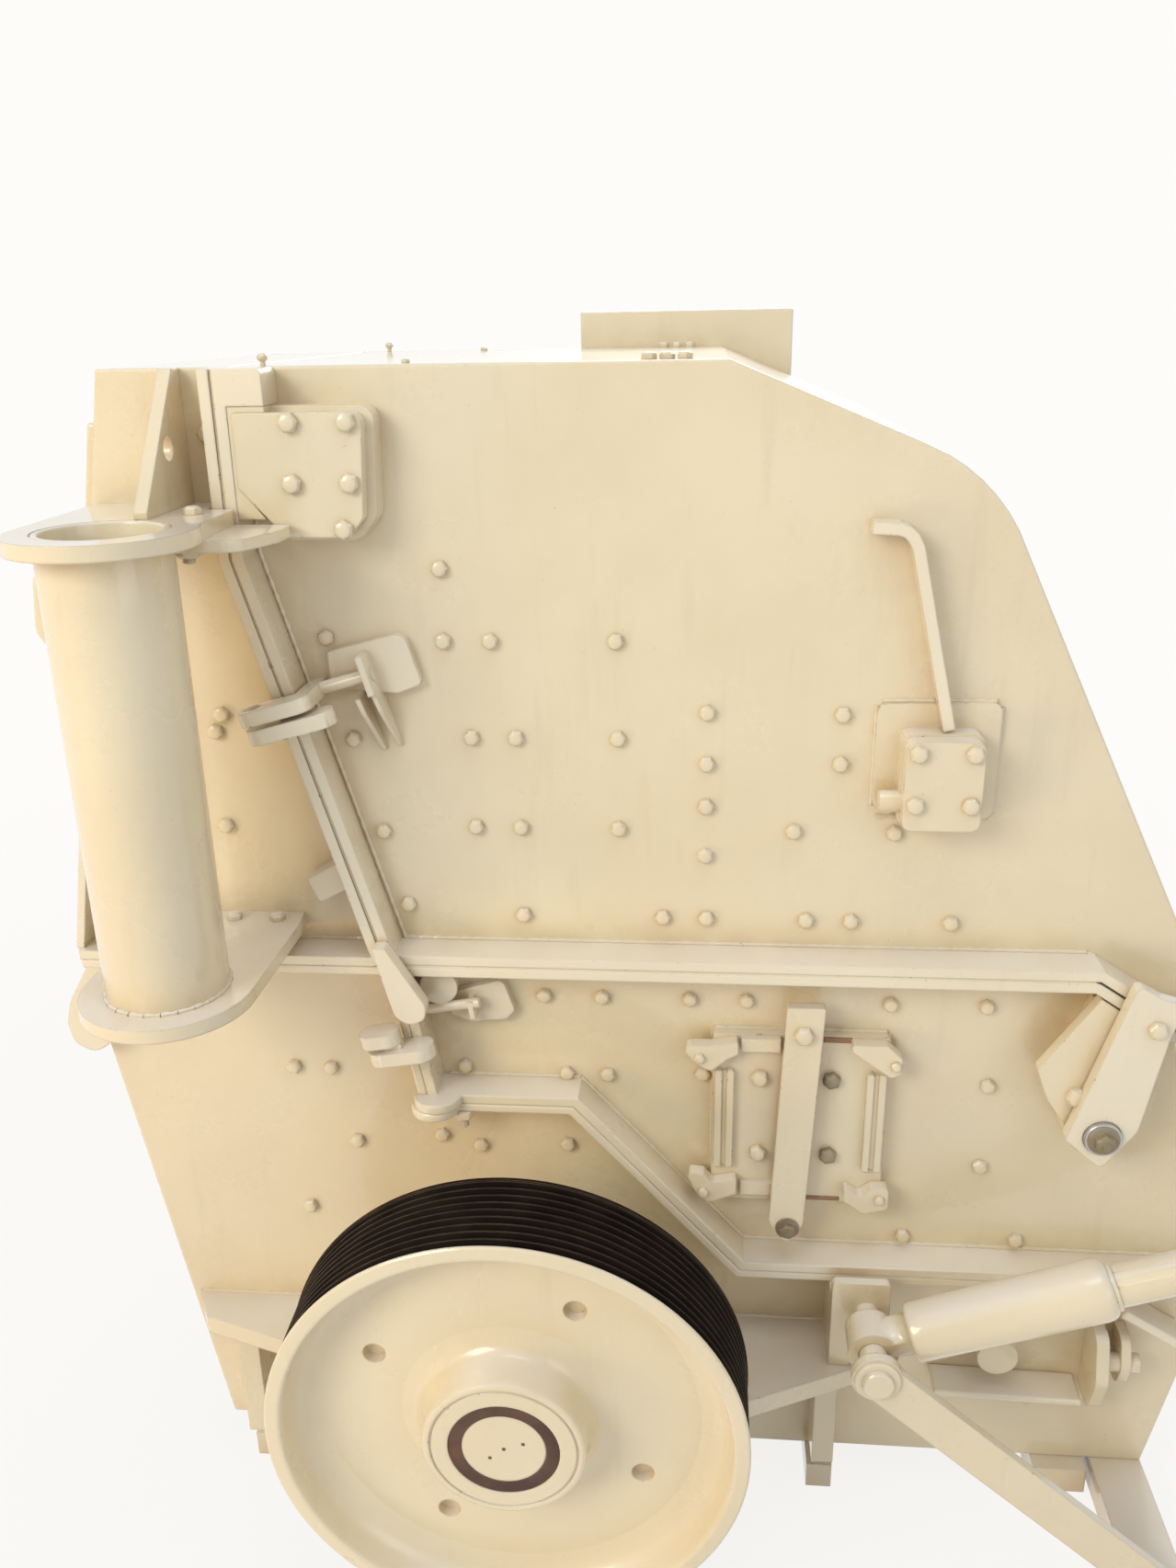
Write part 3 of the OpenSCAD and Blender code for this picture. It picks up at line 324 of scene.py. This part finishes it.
def dress_cad():
    """Each carried-over CAD node gets its slot's finish and softly rounded edges."""
    slot_of = {p["node"]: p["material_slot"] for p in frame["record"]["subparts"]}
    for name, obj in nodes.items():
        obj.data.materials.clear()
        # flanges and clamps take the lighter copy of the paint, a painted sheen
        obj.data.materials.append(SHEEN_CREAM if name in SHEEN_NODES else BY_SLOT[slot_of[name]])
        join = obj.modifiers.new("join", "WELD")
        join.merge_threshold = JOIN_GAP
        if name in FLATTENED:
            flat = obj.modifiers.new("flat", "DECIMATE")
            flat.decimate_type = "DISSOLVE"
            flat.angle_limit = FLAT_ANGLE
        if name in ROUNDED:
            bevel = obj.modifiers.new("edges", "BEVEL")
            bevel.width = ROUNDED[name]
            bevel.segments = 3
            bevel.limit_method = "ANGLE"
            bevel.angle_limit = SHARP_ANGLE
            clean = obj.modifiers.new("clean", "WELD")
            clean.merge_threshold = CLEAN_GAP


# ---------------------------------------------------------------- small parts

# Bolt heads and nuts, by half their width across corners.
HEAD = {
    "bearing cap": 0.013,
    "bearing foot": 0.026,
    "corner dog": 0.014,
    "door": 0.023,
    "foot plate": 0.020,
    "front cover": 0.022,
    "hinge arm": 0.023,
    "hinge pin": 0.026,
    "liner": 0.020,
    "lobe bolt": 0.019,
    "lobe nut": 0.027,
    "lug plate": 0.025,
    "rear cover": 0.021,
    "roof": 0.017,
    "roof plug": 0.010,
    "strap": 0.024,
    "strap foot": 0.022,
    "tongue bolt": 0.020,
    "tongue nut": 0.030,
}


def mesh_piece(name, bm, slot, body, finish=None):
    """Turns a bmesh into a piece with a slot's finish, or its own, that rides on a body."""
    bmesh.ops.recalc_face_normals(bm, faces=bm.faces)
    mesh = bpy.data.meshes.new(name)
    bm.to_mesh(mesh)
    bm.free()
    obj = bpy.data.objects.new(name, mesh)
    bpy.context.collection.objects.link(obj)
    mesh.materials.append(finish or BY_SLOT[slot])
    mesh.shade_smooth()
    mesh.set_sharp_from_angle(angle=math.radians(32))
    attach(obj, body)
    return obj


def ring(bm, frame_m, radius, z, sides):
    """Corners of a regular polygon round the frame's Z."""
    turns = [2 * math.pi * i / sides for i in range(sides)]
    places = [Vector((radius * math.cos(a), radius * math.sin(a), z)) for a in turns]
    return [bm.verts.new(frame_m @ place) for place in places]


def skin(bm, a, b):
    """Faces between two closed loops with the same number of corners."""
    n = len(a)
    for i in range(n):
        bm.faces.new((a[i], a[(i + 1) % n], b[(i + 1) % n], b[i]))


def lathe(bm, frame_m, profile, sides):
    """Rings of (radius, height) along the frame's Z, capped at both ends."""
    rings = [ring(bm, frame_m, r, z, sides) for r, z in profile]
    for a, b in zip(rings, rings[1:]):
        skin(bm, a, b)
    bm.faces.new(rings[0])
    bm.faces.new(rings[-1])


def along(point, direction, spin=0.0):
    """A frame at point whose Z looks along direction."""
    z = Vector(direction).normalized()
    x = z.orthogonal().normalized()
    m = Matrix((x, z.cross(x), z)).transposed().to_4x4()
    return Matrix.Translation(Vector(point)) @ m @ Matrix.Rotation(spin, 4, "Z")


def hex_bolt(bm, point, direction, kind):
    """A hexagon head with a domed crown."""
    size = HEAD[kind]
    m = along(point, direction, rng.uniform(0, math.pi / 3))
    head = [(1.0, 0.0), (1.0, 0.62), (0.86, 0.74)]
    crown = [(0.80, 0.70), (0.76, 0.80), (0.58, 0.88), (0.30, 0.92)]
    for profile, sides in ((head, 6), (crown, 18)):
        lathe(bm, m, [(size * r, size * z) for r, z in profile], sides)


def stud_nut(bm, point, direction, kind, stick):
    """A nut on a stud whose threaded end sticks out of it."""
    hex_bolt(bm, point, direction, kind)
    size = HEAD[kind]
    pitch = 0.003
    foot = 0.004 + size * 0.7
    profile = []
    for i in range(int(stick / pitch)):
        z = foot + i * pitch
        profile += [(size * 0.47, z), (size * 0.42, z + pitch / 2)]
    profile.append((size * 0.38, profile[-1][1] + 0.002))
    lathe(bm, along(point, direction), profile, 14)


def sweep(bm, sections):
    """Skins a row of sections and closes the first and the last."""
    for a, b in zip(sections, sections[1:]):
        skin(bm, a, b)
    bm.faces.new(sections[0])
    bm.faces.new(sections[-1])


def weld_bead(bm, a, b, out, size):
    """A rippled fillet weld from a to b, lying in the corner that faces out."""
    a, b = Vector(a), Vector(b)
    length = (b - a).length
    if length < 0.03:
        return
    count = max(3, int(length / 0.012))
    t = (b - a).normalized()
    u = Vector(out).normalized()
    v = t.cross(u)
    spokes = [u * math.cos(k * math.pi / 3) + v * math.sin(k * math.pi / 3) for k in range(6)]
    sections = []
    for i in range(count + 1):
        p = a.lerp(b, i / count)
        swell = size * (1.0 + 0.22 * math.sin(i * 2.2) + rng.uniform(-0.08, 0.08))
        sections.append([bm.verts.new(p + spoke * swell) for spoke in spokes])
    sweep(bm, sections)


def slab(bm, xs, ys, zs):
    """An upright block between two x, two y and two z values, its edges broken."""
    size = Vector((xs[1] - xs[0], ys[1] - ys[0], zs[1] - zs[0]))
    centre = Vector((sum(xs), sum(ys), sum(zs))) / 2
    corners = bmesh.ops.create_cube(bm, size=1.0)["verts"]
    for v in corners:
        v.co = Vector(c * k for c, k in zip(v.co, size)) + centre
    edges = list(dict.fromkeys(e for v in corners for e in v.link_edges))
    chamfer = min(0.0012, min(size) * 0.3)
    bmesh.ops.bevel(bm, geom=edges, offset=chamfer, segments=2, affect="EDGES")


def seam_strip(bm, path, outline):
    """A strip along a path in (x, z); outline is its section as (offset across it, y)."""
    sections = []
    for i, (x, z) in enumerate(path):
        before = Vector(path[max(i - 1, 0)])
        after = Vector(path[min(i + 1, len(path) - 1)])
        t = (after - before).normalized()
        n = Vector((-t.y, t.x))
        sections.append([bm.verts.new((x + n.x * s, y, z + n.y * s)) for s, y in outline])
    sweep(bm, sections)


def on_walls(points, y=None):
    """(x, z) places on both side walls as (position, outward direction)."""
    y = WALL_Y if y is None else y
    return [((x, side * y, z), (0, side, 0)) for x, z in points for side in SIDES]


def row(z, *xs):
    """(x, z) places at one height."""
    return [(x, z) for x in xs]


def column(x, *zs):
    """(x, z) places one over the other."""
    return [(x, z) for z in zs]


def add_wall_bolts():
    """Liner bolts, in the rows and columns of the liner plates behind the walls."""
    rear_wall = (
        row(2.610, -0.154)
        + row(2.443, -0.155, -0.046, 0.242)
        + row(2.210, -0.100, 0.005, 0.246)
        + row(1.983, -0.100, 0.010, 0.246, 0.661, 0.896)
        + row(1.750, 0.008, 0.352, 0.458, 0.699, 0.807, 1.044)
        + column(0.453, 2.275, 2.150, 2.043, 1.917)
        + column(0.762, 2.273, 2.153)
        # beside the leaning joint
        + [(-0.429, 2.451), (-0.384, 2.204), (-0.328, 1.968), (-0.280, 1.773)]
    )
    middle_wall = (
        row(1.524, 0.052, 0.199, 0.420, 0.562, 0.916, 1.150)
        + row(1.297, 0.105, 0.211, 1.172)
        + row(1.055, 1.172)
        + row(0.826, 0.991, 1.284)
    )
    base_wall = (
        row(1.291, -0.620, -0.520)
        + row(1.065, -0.467, -0.131)
        + [(0.103, 1.078), (-0.234, 1.094), (-0.161, 1.310), (0.455, 1.308)]
        + row(0.845, -0.617)
    )
    feed_wall = row(2.220, -0.721) + row(1.977, -0.723) + row(2.910, -0.658) + row(2.263, -0.701)
    fixed_walls = middle_wall + base_wall + feed_wall
    for name, places, body in (
        ("liner_bolts_rear", rear_wall, "rear_housing"),
        ("liner_bolts_lower", fixed_walls, "housing"),
    ):
        bm = bmesh.new()
        for p, d in on_walls(places):
            hex_bolt(bm, p, d, "liner")
        mesh_piece(name, bm, "cream_paint", body)


def add_cover_bolts():
    """Bolts and knobs on what opens: the covers, the hinge arms and the roof."""
    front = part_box("front_apron_boxes")
    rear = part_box("rear_apron_boxes")
    x1, z1 = front[1][0], front[1][2]
    x0, z0 = rear[0][0], rear[0][2]
    bm = bmesh.new()
    # cover of the front apron's pivot: four at the corners and one at the foot
    places = [(x1 - 0.050, z1 - 0.033), (x1 - 0.174, z1 - 0.033)]
    places += [(x1 - 0.052, z1 - 0.160), (x1 - 0.178, z1 - 0.160), (x1 - 0.072, z1 - 0.258)]
    for p, d in on_walls(places, -front[0][1]):
        hex_bolt(bm, p, d, "front cover")
    # cover of the rear apron's pivot
    places = [(x, z) for x in (x0 + 0.082, x0 + 0.204) for z in (z0 + 0.070, z0 + 0.192)]
    for p, d in on_walls(places, -rear[0][1]):
        hex_bolt(bm, p, d, "rear cover")
    # head of each hinge arm, which lies inside the outermost face of its node
    arm_face = -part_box("hinge_arms")[0][1] - 0.177
    for p, d in on_walls([(HINGE.x + 0.089, HINGE.z + 0.303)], arm_face):
        hex_bolt(bm, p, d, "hinge arm")
    # roof, along its edges
    for x in (0.318, 0.357, 0.395):
        for side in SIDES:
            hex_bolt(bm, (x, side * (WALL_Y - 0.05), ROOF_Z), (0, 0, 1), "roof")
    for side in SIDES:
        hex_bolt(bm, (-0.220, side * (WALL_Y - 0.08), ROOF_Z), (0, 0, 1), "roof plug")
        # turned knob that plugs the lifting hole
        knob = [
            (0.006, -0.001), (0.006, 0.009), (0.011, 0.014),
            (0.012, 0.020), (0.009, 0.025), (0.003, 0.027),
        ]
        lathe(bm, along((-0.522, side * (WALL_Y - 0.02), ROOF_Z), (0, 0, 1)), knob, 20)
    mesh_piece("cover_bolts_rear", bm, "cream_paint", "rear_housing")


def add_door_parts():
    """Bolts, bare nuts, flaked paint and packing on the inspection doors and hinge pins."""
    (x0, y0, z0), (x1, _, z1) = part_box("inspection_doors")
    mid = (x0 + x1) / 2
    door_face = -y0 - 0.020
    strap_face = -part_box("door_fixings")[0][1]
    bolt_rows = (z1 - 0.125, z0 + 0.150)
    hx, _, hz = HINGE

    bm = bmesh.new()
    for p, d in on_walls([(mid - 0.101, z) for z in bolt_rows], door_face):
        hex_bolt(bm, p, d, "door")
    for p, d in on_walls([(mid, z1 + 0.032)], strap_face):
        hex_bolt(bm, p, d, "strap")
    # heads on the corner dogs
    for place in (
        (x0 - 0.034, z1 - 0.052), (x1 + 0.010, z1 - 0.060),
        (x0 - 0.020, z0 + 0.045), (x1 - 0.008, z0 + 0.040),
    ):
        for p, d in on_walls([place], WALL_Y + 0.066):
            hex_bolt(bm, p, d, "corner dog")
    # back plate of the hinge lugs
    for p, d in on_walls([(hx - 0.062, hz + 0.090)], FLANGE_Y + 0.002):
        hex_bolt(bm, p, d, "lug plate")
    mesh_piece("door_bolts", bm, "cream_paint", "housing")

    # nut on each hinge pin, bedded in the arm, and the bolt at the strap's foot
    bm = bmesh.new()
    pin_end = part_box("hinge_pins")[1][1]
    for side in SIDES:
        m = along((hx, side * pin_end, hz), (0, side, 0))
        lathe(bm, m, [(0.0385, -0.006), (0.0385, 0.002), (0.035, 0.0035)], 36)
        stud_nut(bm, (hx, side * (pin_end + 0.0035), hz), (0, side, 0), "hinge pin", 0.008)
    for p, d in on_walls([(mid - 0.020, z0 - 0.047)], strap_face):
        lathe(bm, along(p, d), [(0.031, -0.002), (0.031, 0.003), (0.029, 0.004)], 32)
        hex_bolt(bm, Vector(p) + Vector(d) * 0.004, d, "strap foot")
    for p, d in on_walls([(mid + 0.079, z) for z in bolt_rows], door_face):
        hex_bolt(bm, p, d, "door")
    mesh_piece("bare_nuts", bm, "wear_iron", "housing", OILED)

    def strips(blocks, low, high):
        """Blocks (x0, x1, z0, z1) on both doors, from low to high over the door's face."""
        strip_bm = bmesh.new()
        for left, right, bottom, top in blocks:
            for side in SIDES:
                ys = sorted((side * (door_face + low), side * (door_face + high)))
                slab(strip_bm, (left, right), ys, (bottom, top))
        return strip_bm

    # rust where the strap's packing strip has lost its paint, over and under the door
    bare = [
        (mid + 0.055, mid + 0.125, z1 - 0.018, z1 - 0.003),
        (mid + 0.030, mid + 0.115, z0 + 0.006, z0 + 0.018),
    ]
    mesh_piece("bare_strips", strips(bare, -0.002, 0.0035), "rust_brown", "housing", FLAKED)
    # flat packing between the twin ribs down each side of the door
    packing = [(x, x + 0.016, z0 + 0.112, z1 - 0.104) for x in (x0 + 0.022, x1 - 0.038)]
    mesh_piece("door_packing", strips(packing, -0.002, 0.010), "cream_paint", "housing")


def add_clamp_nuts():
    """Nuts under the flange lobes and on the jib socket's plates."""
    up, down = (0, 0, 1), (0, 0, -1)
    foot_low, (_, _, plate_high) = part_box("jib_plates")
    gusset_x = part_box("lifting_gusset")[0][0]
    bm = bmesh.new()
    lobe_x, lobe_z = -0.155, STEP_Z - FLANGE_T
    for side in SIDES:
        stud_nut(bm, (lobe_x, side * (FLANGE_Y - 0.01), lobe_z), down, "lobe nut", 0.024)
        hex_bolt(bm, (lobe_x - 0.075, side * (FLANGE_Y + 0.012), lobe_z), down, "lobe bolt")
    # bolt through the socket's tongue and second plate
    stud_nut(bm, (-0.640, -0.850, plate_high - 0.058), down, "tongue nut", 0.014)
    hex_bolt(bm, (-0.640, -0.800, plate_high), up, "tongue bolt")
    # heads along the edge of the socket's foot plate
    for x in (gusset_x - 0.09, gusset_x + 0.02, gusset_x + 0.13):
        hex_bolt(bm, (x, -WALL_Y - 0.045, foot_low[2] + 0.033), up, "foot plate")
    mesh_piece("clamp_nuts", bm, "cream_paint", "housing")


def add_shaft_details():
    """Marks in the shaft's end, and the bolts and grease nipples of the bearings."""
    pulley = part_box("pulley")
    axis = (pulley[0][2] + pulley[1][2]) / 2
    # centre mark and two tapped holes: raised discs of dark bare iron, their dark also a painted
    # shade for the depth of the holes
    bm = bmesh.new()
    shaft_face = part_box("rotor_shaft")[0][1]
    for x, z in ((0.0, 0.0), (0.046, 0.018), (-0.034, -0.029)):
        m = along((x, shaft_face, axis + z), (0, -1, 0))
        lathe(bm, m, [(0.0046, -0.002), (0.0046, 0.0008), (0.0032, 0.0014)], 16)
    mesh_piece("shaft_marks", bm, "wear_iron", "rotor")

    bm = bmesh.new()
    outer_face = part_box("bearing_housings")[1][1]
    inner_face = WALL_Y + 0.038
    circle = 0.129  # radius of the cap's bolt circle
    nipple = [
        (0.009, 0), (0.009, 0.008), (0.0055, 0.010),
        (0.0055, 0.017), (0.0075, 0.020), (0.005, 0.026),
    ]
    for side in SIDES:
        for y, d in ((outer_face, side), (inner_face, -side)):
            for i in range(8):
                a = math.radians(22.5 + 45 * i)
                place = (circle * math.cos(a), side * y, axis + circle * math.sin(a))
                hex_bolt(bm, place, (0, d, 0), "bearing cap")
        # the housing's foot bolts
        for x in (-0.275, 0.275):
            for y in (WALL_Y + 0.105, WALL_Y + 0.225):
                hex_bolt(bm, (x, side * y, axis - 0.055), (0, 0, 1), "bearing foot")
        lathe(bm, along((0, side * (WALL_Y + 0.165), axis + 0.189), (0, 0, 1)), nipple, 16)
    mesh_piece("bearing_bolts", bm, "cream_paint", "housing")


def add_belt_rim():
    """A dark ring over the rear lip of the pulley's rim, in the groove band's finish."""
    low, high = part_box("pulley")
    radius = (high[2] - low[2]) / 2
    m = along((0, high[1], (low[2] + high[2]) / 2), (0, -1, 0))
    inner, outer = radius - 0.004, radius + 0.0006
    back, front = -0.0006, 0.009
    bm = bmesh.new()
    corners = ((inner, back), (outer, back), (outer, front), (inner, front))
    rings = [ring(bm, m, r, z, 180) for r, z in corners]
    for a, b in zip(rings, rings[1:] + rings[:1]):
        skin(bm, a, b)
    mesh_piece("belt_rim", bm, "dark_iron", "rotor")


def add_pin_caps():
    """Ring and cap on the end of each cylinder's pin, over the strut."""
    strut_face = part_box("strut_bars")[1][1]
    x, _, z = joints["barrel_swing_near"]["pos_m"]
    bm = bmesh.new()
    for side in SIDES:
        m = along((x, side * strut_face, z), (0, side, 0))
        lathe(bm, m, [(0.056, -0.001), (0.056, 0.007), (0.053, 0.0095)], 48)
        lathe(bm, m, [(0.038, 0.009), (0.038, 0.020), (0.035, 0.0235)], 48)
    mesh_piece("cylinder_pin_caps", bm, "cream_paint", "housing")


def add_seals():
    """Seal strip painted over in the closed joint, carried by the fixed flanges."""
    half = 0.0021  # half the width of the strip in the joint
    spread = 0.0075  # half its width where it fills the hollow of the flanges' edges
    lean = [(LEAN_TOP[0], ROOF_Z - 0.004), LEAN_TOP, (-0.3275, SPLIT_Z + 0.012)]
    level = [(-0.312, SPLIT_Z), (1.366, SPLIT_Z), (1.590, SPLIT_Z - 0.147)]
    bm = bmesh.new()
    for side in SIDES:
        foot = side * (WALL_Y + 0.004)
        sunk = side * (FLANGE_Y - 0.0035)
        neck = side * (FLANGE_Y - 0.0065)
        face = side * (FLANGE_Y - 0.0006)
        seam_strip(bm, lean, [(half, foot), (half, sunk), (-half, sunk), (-half, foot)])
        filled = [
            (half, foot), (half, neck), (spread, face),
            (-spread, face), (-half, neck), (-half, foot),
        ]
        seam_strip(bm, level, filled)
    mesh_piece("joint_seal", bm, "cream_paint", "housing")


def add_cover_filler():
    """Fills the slots between the leaning flange, the head block and the front cover."""
    (x0, y0, _), (_, _, z1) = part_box("front_apron_boxes")
    lap = 0.0005  # how far it laps over the cover's box
    head_x = x0 + 0.081
    outline = [
        (x0 - lap, z1 + lap), (head_x, z1 + lap),
        (head_x, z1 - 0.0125), (x0 + 0.018, z1 - 0.0125),
        (x0 + 0.010, z1 - 0.020), (x0 + 0.010, z1 - 0.168),
        (x0 + 0.062, z1 - 0.236), (x0 - lap, z1 - 0.236),
    ]
    bm = bmesh.new()
    for side in SIDES:
        ys = (side * (WALL_Y - 0.001), side * (-y0 - 0.002))
        near, far = ([bm.verts.new((x, y, z)) for x, z in outline] for y in ys)
        sweep(bm, [near, far])
    mesh_piece("cover_filler", bm, "cream_paint", "rear_housing")


def add_welds():
    """Fillet welds where flanges, ribs and covers meet the walls."""
    rear = bmesh.new()
    fixed = bmesh.new()
    lean = [(LEAN_TOP[0] + 0.003, ROOF_Z - 0.01), (LEAN_TOP[0] + 0.003, LEAN_TOP[1])]
    lean += [(-0.325, SPLIT_Z + 0.03)]
    beside = 0.031  # from the middle of the leaning joint to the foot of each flange
    foot = 0.027  # the same for a level flange
    for side in SIDES:

        def run(bm, *points):
            """One bead after the other through (x, z) points on this side's wall."""
            for a, b in zip(points, points[1:]):
                ends = [(x, side * WALL_Y, z) for x, z in (a, b)]
                weld_bead(bm, *ends, (0, side, 0), 0.006)

        run(rear, *((x + beside, z) for x, z in lean))
        run(fixed, *((x - beside, z) for x, z in lean))
        # long joint over the middle band, and the band's own foot
        above, below = SPLIT_Z + foot, SPLIT_Z - foot
        run(rear, (-0.29, above + 0.006), (1.372, above + 0.006), (1.583, SPLIT_Z - 0.105))
        run(fixed, (-0.27, below), (1.365, below), (1.560, SPLIT_Z - 0.156))
        run(fixed, (-1.14, below), (-0.34, below))
        run(fixed, (-1.14, above), (-0.38, above))
        # both sides of the middle housing's lower flange
        above, below = STEP_Z + foot, STEP_Z - foot
        run(fixed, (-0.205, above), (0.140, above), (0.572, 0.797), (1.745, 0.797))
        run(fixed, (-0.255, below), (0.118, below), (0.549, 0.743), (1.820, 0.743))
        # round the covers and doors
        for node, bm, inset in (
            ("rear_apron_boxes", rear, 0.012),
            ("inspection_doors", fixed, 0.006),
        ):
            (x0, _, z0), (x1, _, z1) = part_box(node)
            run(bm, (x0 + inset, z0), (x1 - inset, z0))
            run(bm, (x0 + inset, z1), (x1 - inset, z1))
            run(bm, (x0, z0 + 2.4 * inset), (x0, z1 - inset))
            run(bm, (x1, z0 + inset), (x1, z1 - inset))
        # bearing shelf, in front of the bearing and behind it
        (x0, _, _), (x1, _, z1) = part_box("bearing_shelves")
        run(fixed, (x0 + 0.01, z1), (-0.21, z1))
        run(fixed, (0.21, z1), (x1 - 0.01, z1))
    mesh_piece("welds_rear", rear, "cream_paint", "rear_housing")
    mesh_piece("welds_housing", fixed, "cream_paint", "housing")

    # round the jib socket, above its foot plate and below its top ring
    bm = bmesh.new()
    low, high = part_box("jib_tube")
    x, y, r = (low[0] + high[0]) / 2, (low[1] + high[1]) / 2, (high[0] - low[0]) / 2
    turns = [2 * math.pi * i / 24 for i in range(25)]
    for z in (low[2] + 0.034, high[2] - 0.034):
        places = [(x + r * math.cos(a), y + r * math.sin(a), z) for a in turns]
        for a, b in zip(places, places[1:]):
            weld_bead(bm, a, b, (0, 0, 1), 0.007)
    mesh_piece("welds_socket", bm, "cream_paint", "housing")


# ---------------------------------------------------------------- set

WHITE_SET = (0.985, 0.975, 0.955, 1.0)  # the backdrop's colour as it is seen


def build_camera():
    """The photo's view: it looks down at the near side, from in front of the pulley."""
    place = (0.430, -3.440, 3.135)
    yaw, pitch, roll = (math.radians(angle) for angle in (-5.2, 20.16, -1.1))
    level = math.cos(pitch)
    forward = Vector((math.sin(yaw) * level, math.cos(yaw) * level, -math.sin(pitch)))
    right = Vector((math.cos(yaw), -math.sin(yaw), 0.0))
    up = right.cross(forward)
    rolled_right = right * math.cos(roll) + up * math.sin(roll)
    rolled_up = -right * math.sin(roll) + up * math.cos(roll)
    turn = Matrix((rolled_right, rolled_up, -forward)).transposed().to_4x4()
    data = bpy.data.cameras.new("camera")
    data.sensor_fit = "VERTICAL"
    data.sensor_height = 36.0
    data.lens = 29.12
    data.clip_end = 100.0
    obj = bpy.data.objects.new("camera", data)
    obj.matrix_world = Matrix.Translation(place) @ turn
    bpy.context.collection.objects.link(obj)
    bpy.context.scene.camera = obj


def area_lamp(name, place, target, size, power, color):
    """A rectangular lamp that looks from its place at the target."""
    data = bpy.data.lights.new(name, "AREA")
    data.shape = "RECTANGLE"
    data.size, data.size_y = size
    data.energy = power
    data.color = color
    obj = bpy.data.objects.new(name, data)
    obj.location = place
    obj.rotation_euler = (Vector(target) - Vector(place)).to_track_quat("-Z", "Y").to_euler()
    bpy.context.collection.objects.link(obj)
    return obj


def seen_directly(tree):
    """1 for camera, glossy and transmission rays, which see the white set itself."""
    path = tree.nodes.new("ShaderNodeLightPath")
    total = path.outputs["Is Camera Ray"]
    for kind in ("Is Glossy Ray", "Is Transmission Ray"):
        n = tree.nodes.new("ShaderNodeMath")
        n.operation = "MAXIMUM"
        tree.links.new(total, n.inputs[0])
        tree.links.new(path.outputs[kind], n.inputs[1])
        total = n.outputs[0]
    return total


def build_floor():
    """A wide pale floor: white seen from afar, and the object's own shadow near to it."""
    bm = bmesh.new()
    lathe(bm, Matrix.Identity(4), [(60.0, -0.02), (60.0, 0.0)], 96)
    mesh = bpy.data.meshes.new("floor")
    bm.to_mesh(mesh)
    bm.free()
    floor = bpy.data.objects.new("floor", mesh)
    bpy.context.collection.objects.link(floor)

    s = Shader("pale_floor")
    s.finish((0.80, 0.79, 0.775, 1.0), 0.7)
    glow = s.node("ShaderNodeEmission")
    glow.inputs["Color"].default_value = WHITE_SET
    blend = s.node("ShaderNodeMixShader")
    from_middle = s.node("ShaderNodeVectorMath", operation="LENGTH")
    s.link(s.geo.outputs["Position"], from_middle.inputs[0])
    white = s.ramp(from_middle.outputs["Value"], 1.5, 7.0, 0.88, 1.0)
    s.link(s.math("MULTIPLY", seen_directly(s.tree), white), blend.inputs[0])
    s.link(s.bsdf.outputs[0], blend.inputs[1])
    s.link(glow.outputs[0], blend.inputs[2])
    s.link(blend.outputs[0], s.tree.nodes["Material Output"].inputs["Surface"])
    mesh.materials.append(s.mat)


def build_world():
    """Soft bluish light all round, behind a white backdrop."""
    world = bpy.data.worlds.new("studio")
    bpy.context.scene.world = world
    world.use_nodes = True
    tree = world.node_tree
    tree.nodes.clear()
    out = tree.nodes.new("ShaderNodeOutputWorld")
    mix = tree.nodes.new("ShaderNodeMixShader")
    tree.links.new(seen_directly(tree), mix.inputs[0])
    lit = ((0.88, 0.90, 1.0, 1.0), 0.50)
    seen = (WHITE_SET, 1.0)
    for socket, (color, strength) in zip(mix.inputs[1:], (lit, seen)):
        background = tree.nodes.new("ShaderNodeBackground")
        background.inputs["Color"].default_value = color
        background.inputs["Strength"].default_value = strength
        tree.links.new(background.outputs[0], socket)
    tree.links.new(mix.outputs[0], out.inputs["Surface"])


def build_lights():
    """A high key from the left front, a low warm one on the feed end, and three soft ones."""
    area_lamp("key", (-5.5, -7.4, 6.6), (0.3, 0.0, 1.3), (4.4, 4.0), 440, (1.0, 0.94, 0.82))
    warm = area_lamp(
        "warm", (-5.0, -4.0, 0.9), (-0.6, -0.6, 1.9), (1.6, 1.2), 72, (1.0, 0.60, 0.24)
    )
    warm.visible_glossy = False
    area_lamp("top", (1.0, -2.5, 8.5), (0.4, -0.6, 1.2), (4.0, 2.5), 80, (0.97, 0.97, 1.0))
    area_lamp("fill", (6.5, -6.0, 4.5), (0.5, 0.0, 1.2), (5.0, 4.0), 70, (0.95, 0.96, 1.0))
    area_lamp("back", (2.0, 8.0, 6.5), (0.3, 0.0, 1.5), (6.0, 4.0), 330, (1.0, 0.96, 0.9))


dress_cad()
add_wall_bolts()
add_cover_bolts()
add_door_parts()
add_clamp_nuts()
add_shaft_details()
add_belt_rim()
add_pin_caps()
add_seals()
add_cover_filler()
add_welds()
build_camera()
build_floor()
build_world()
build_lights()
bpy.context.scene.view_settings.view_transform = "Standard"
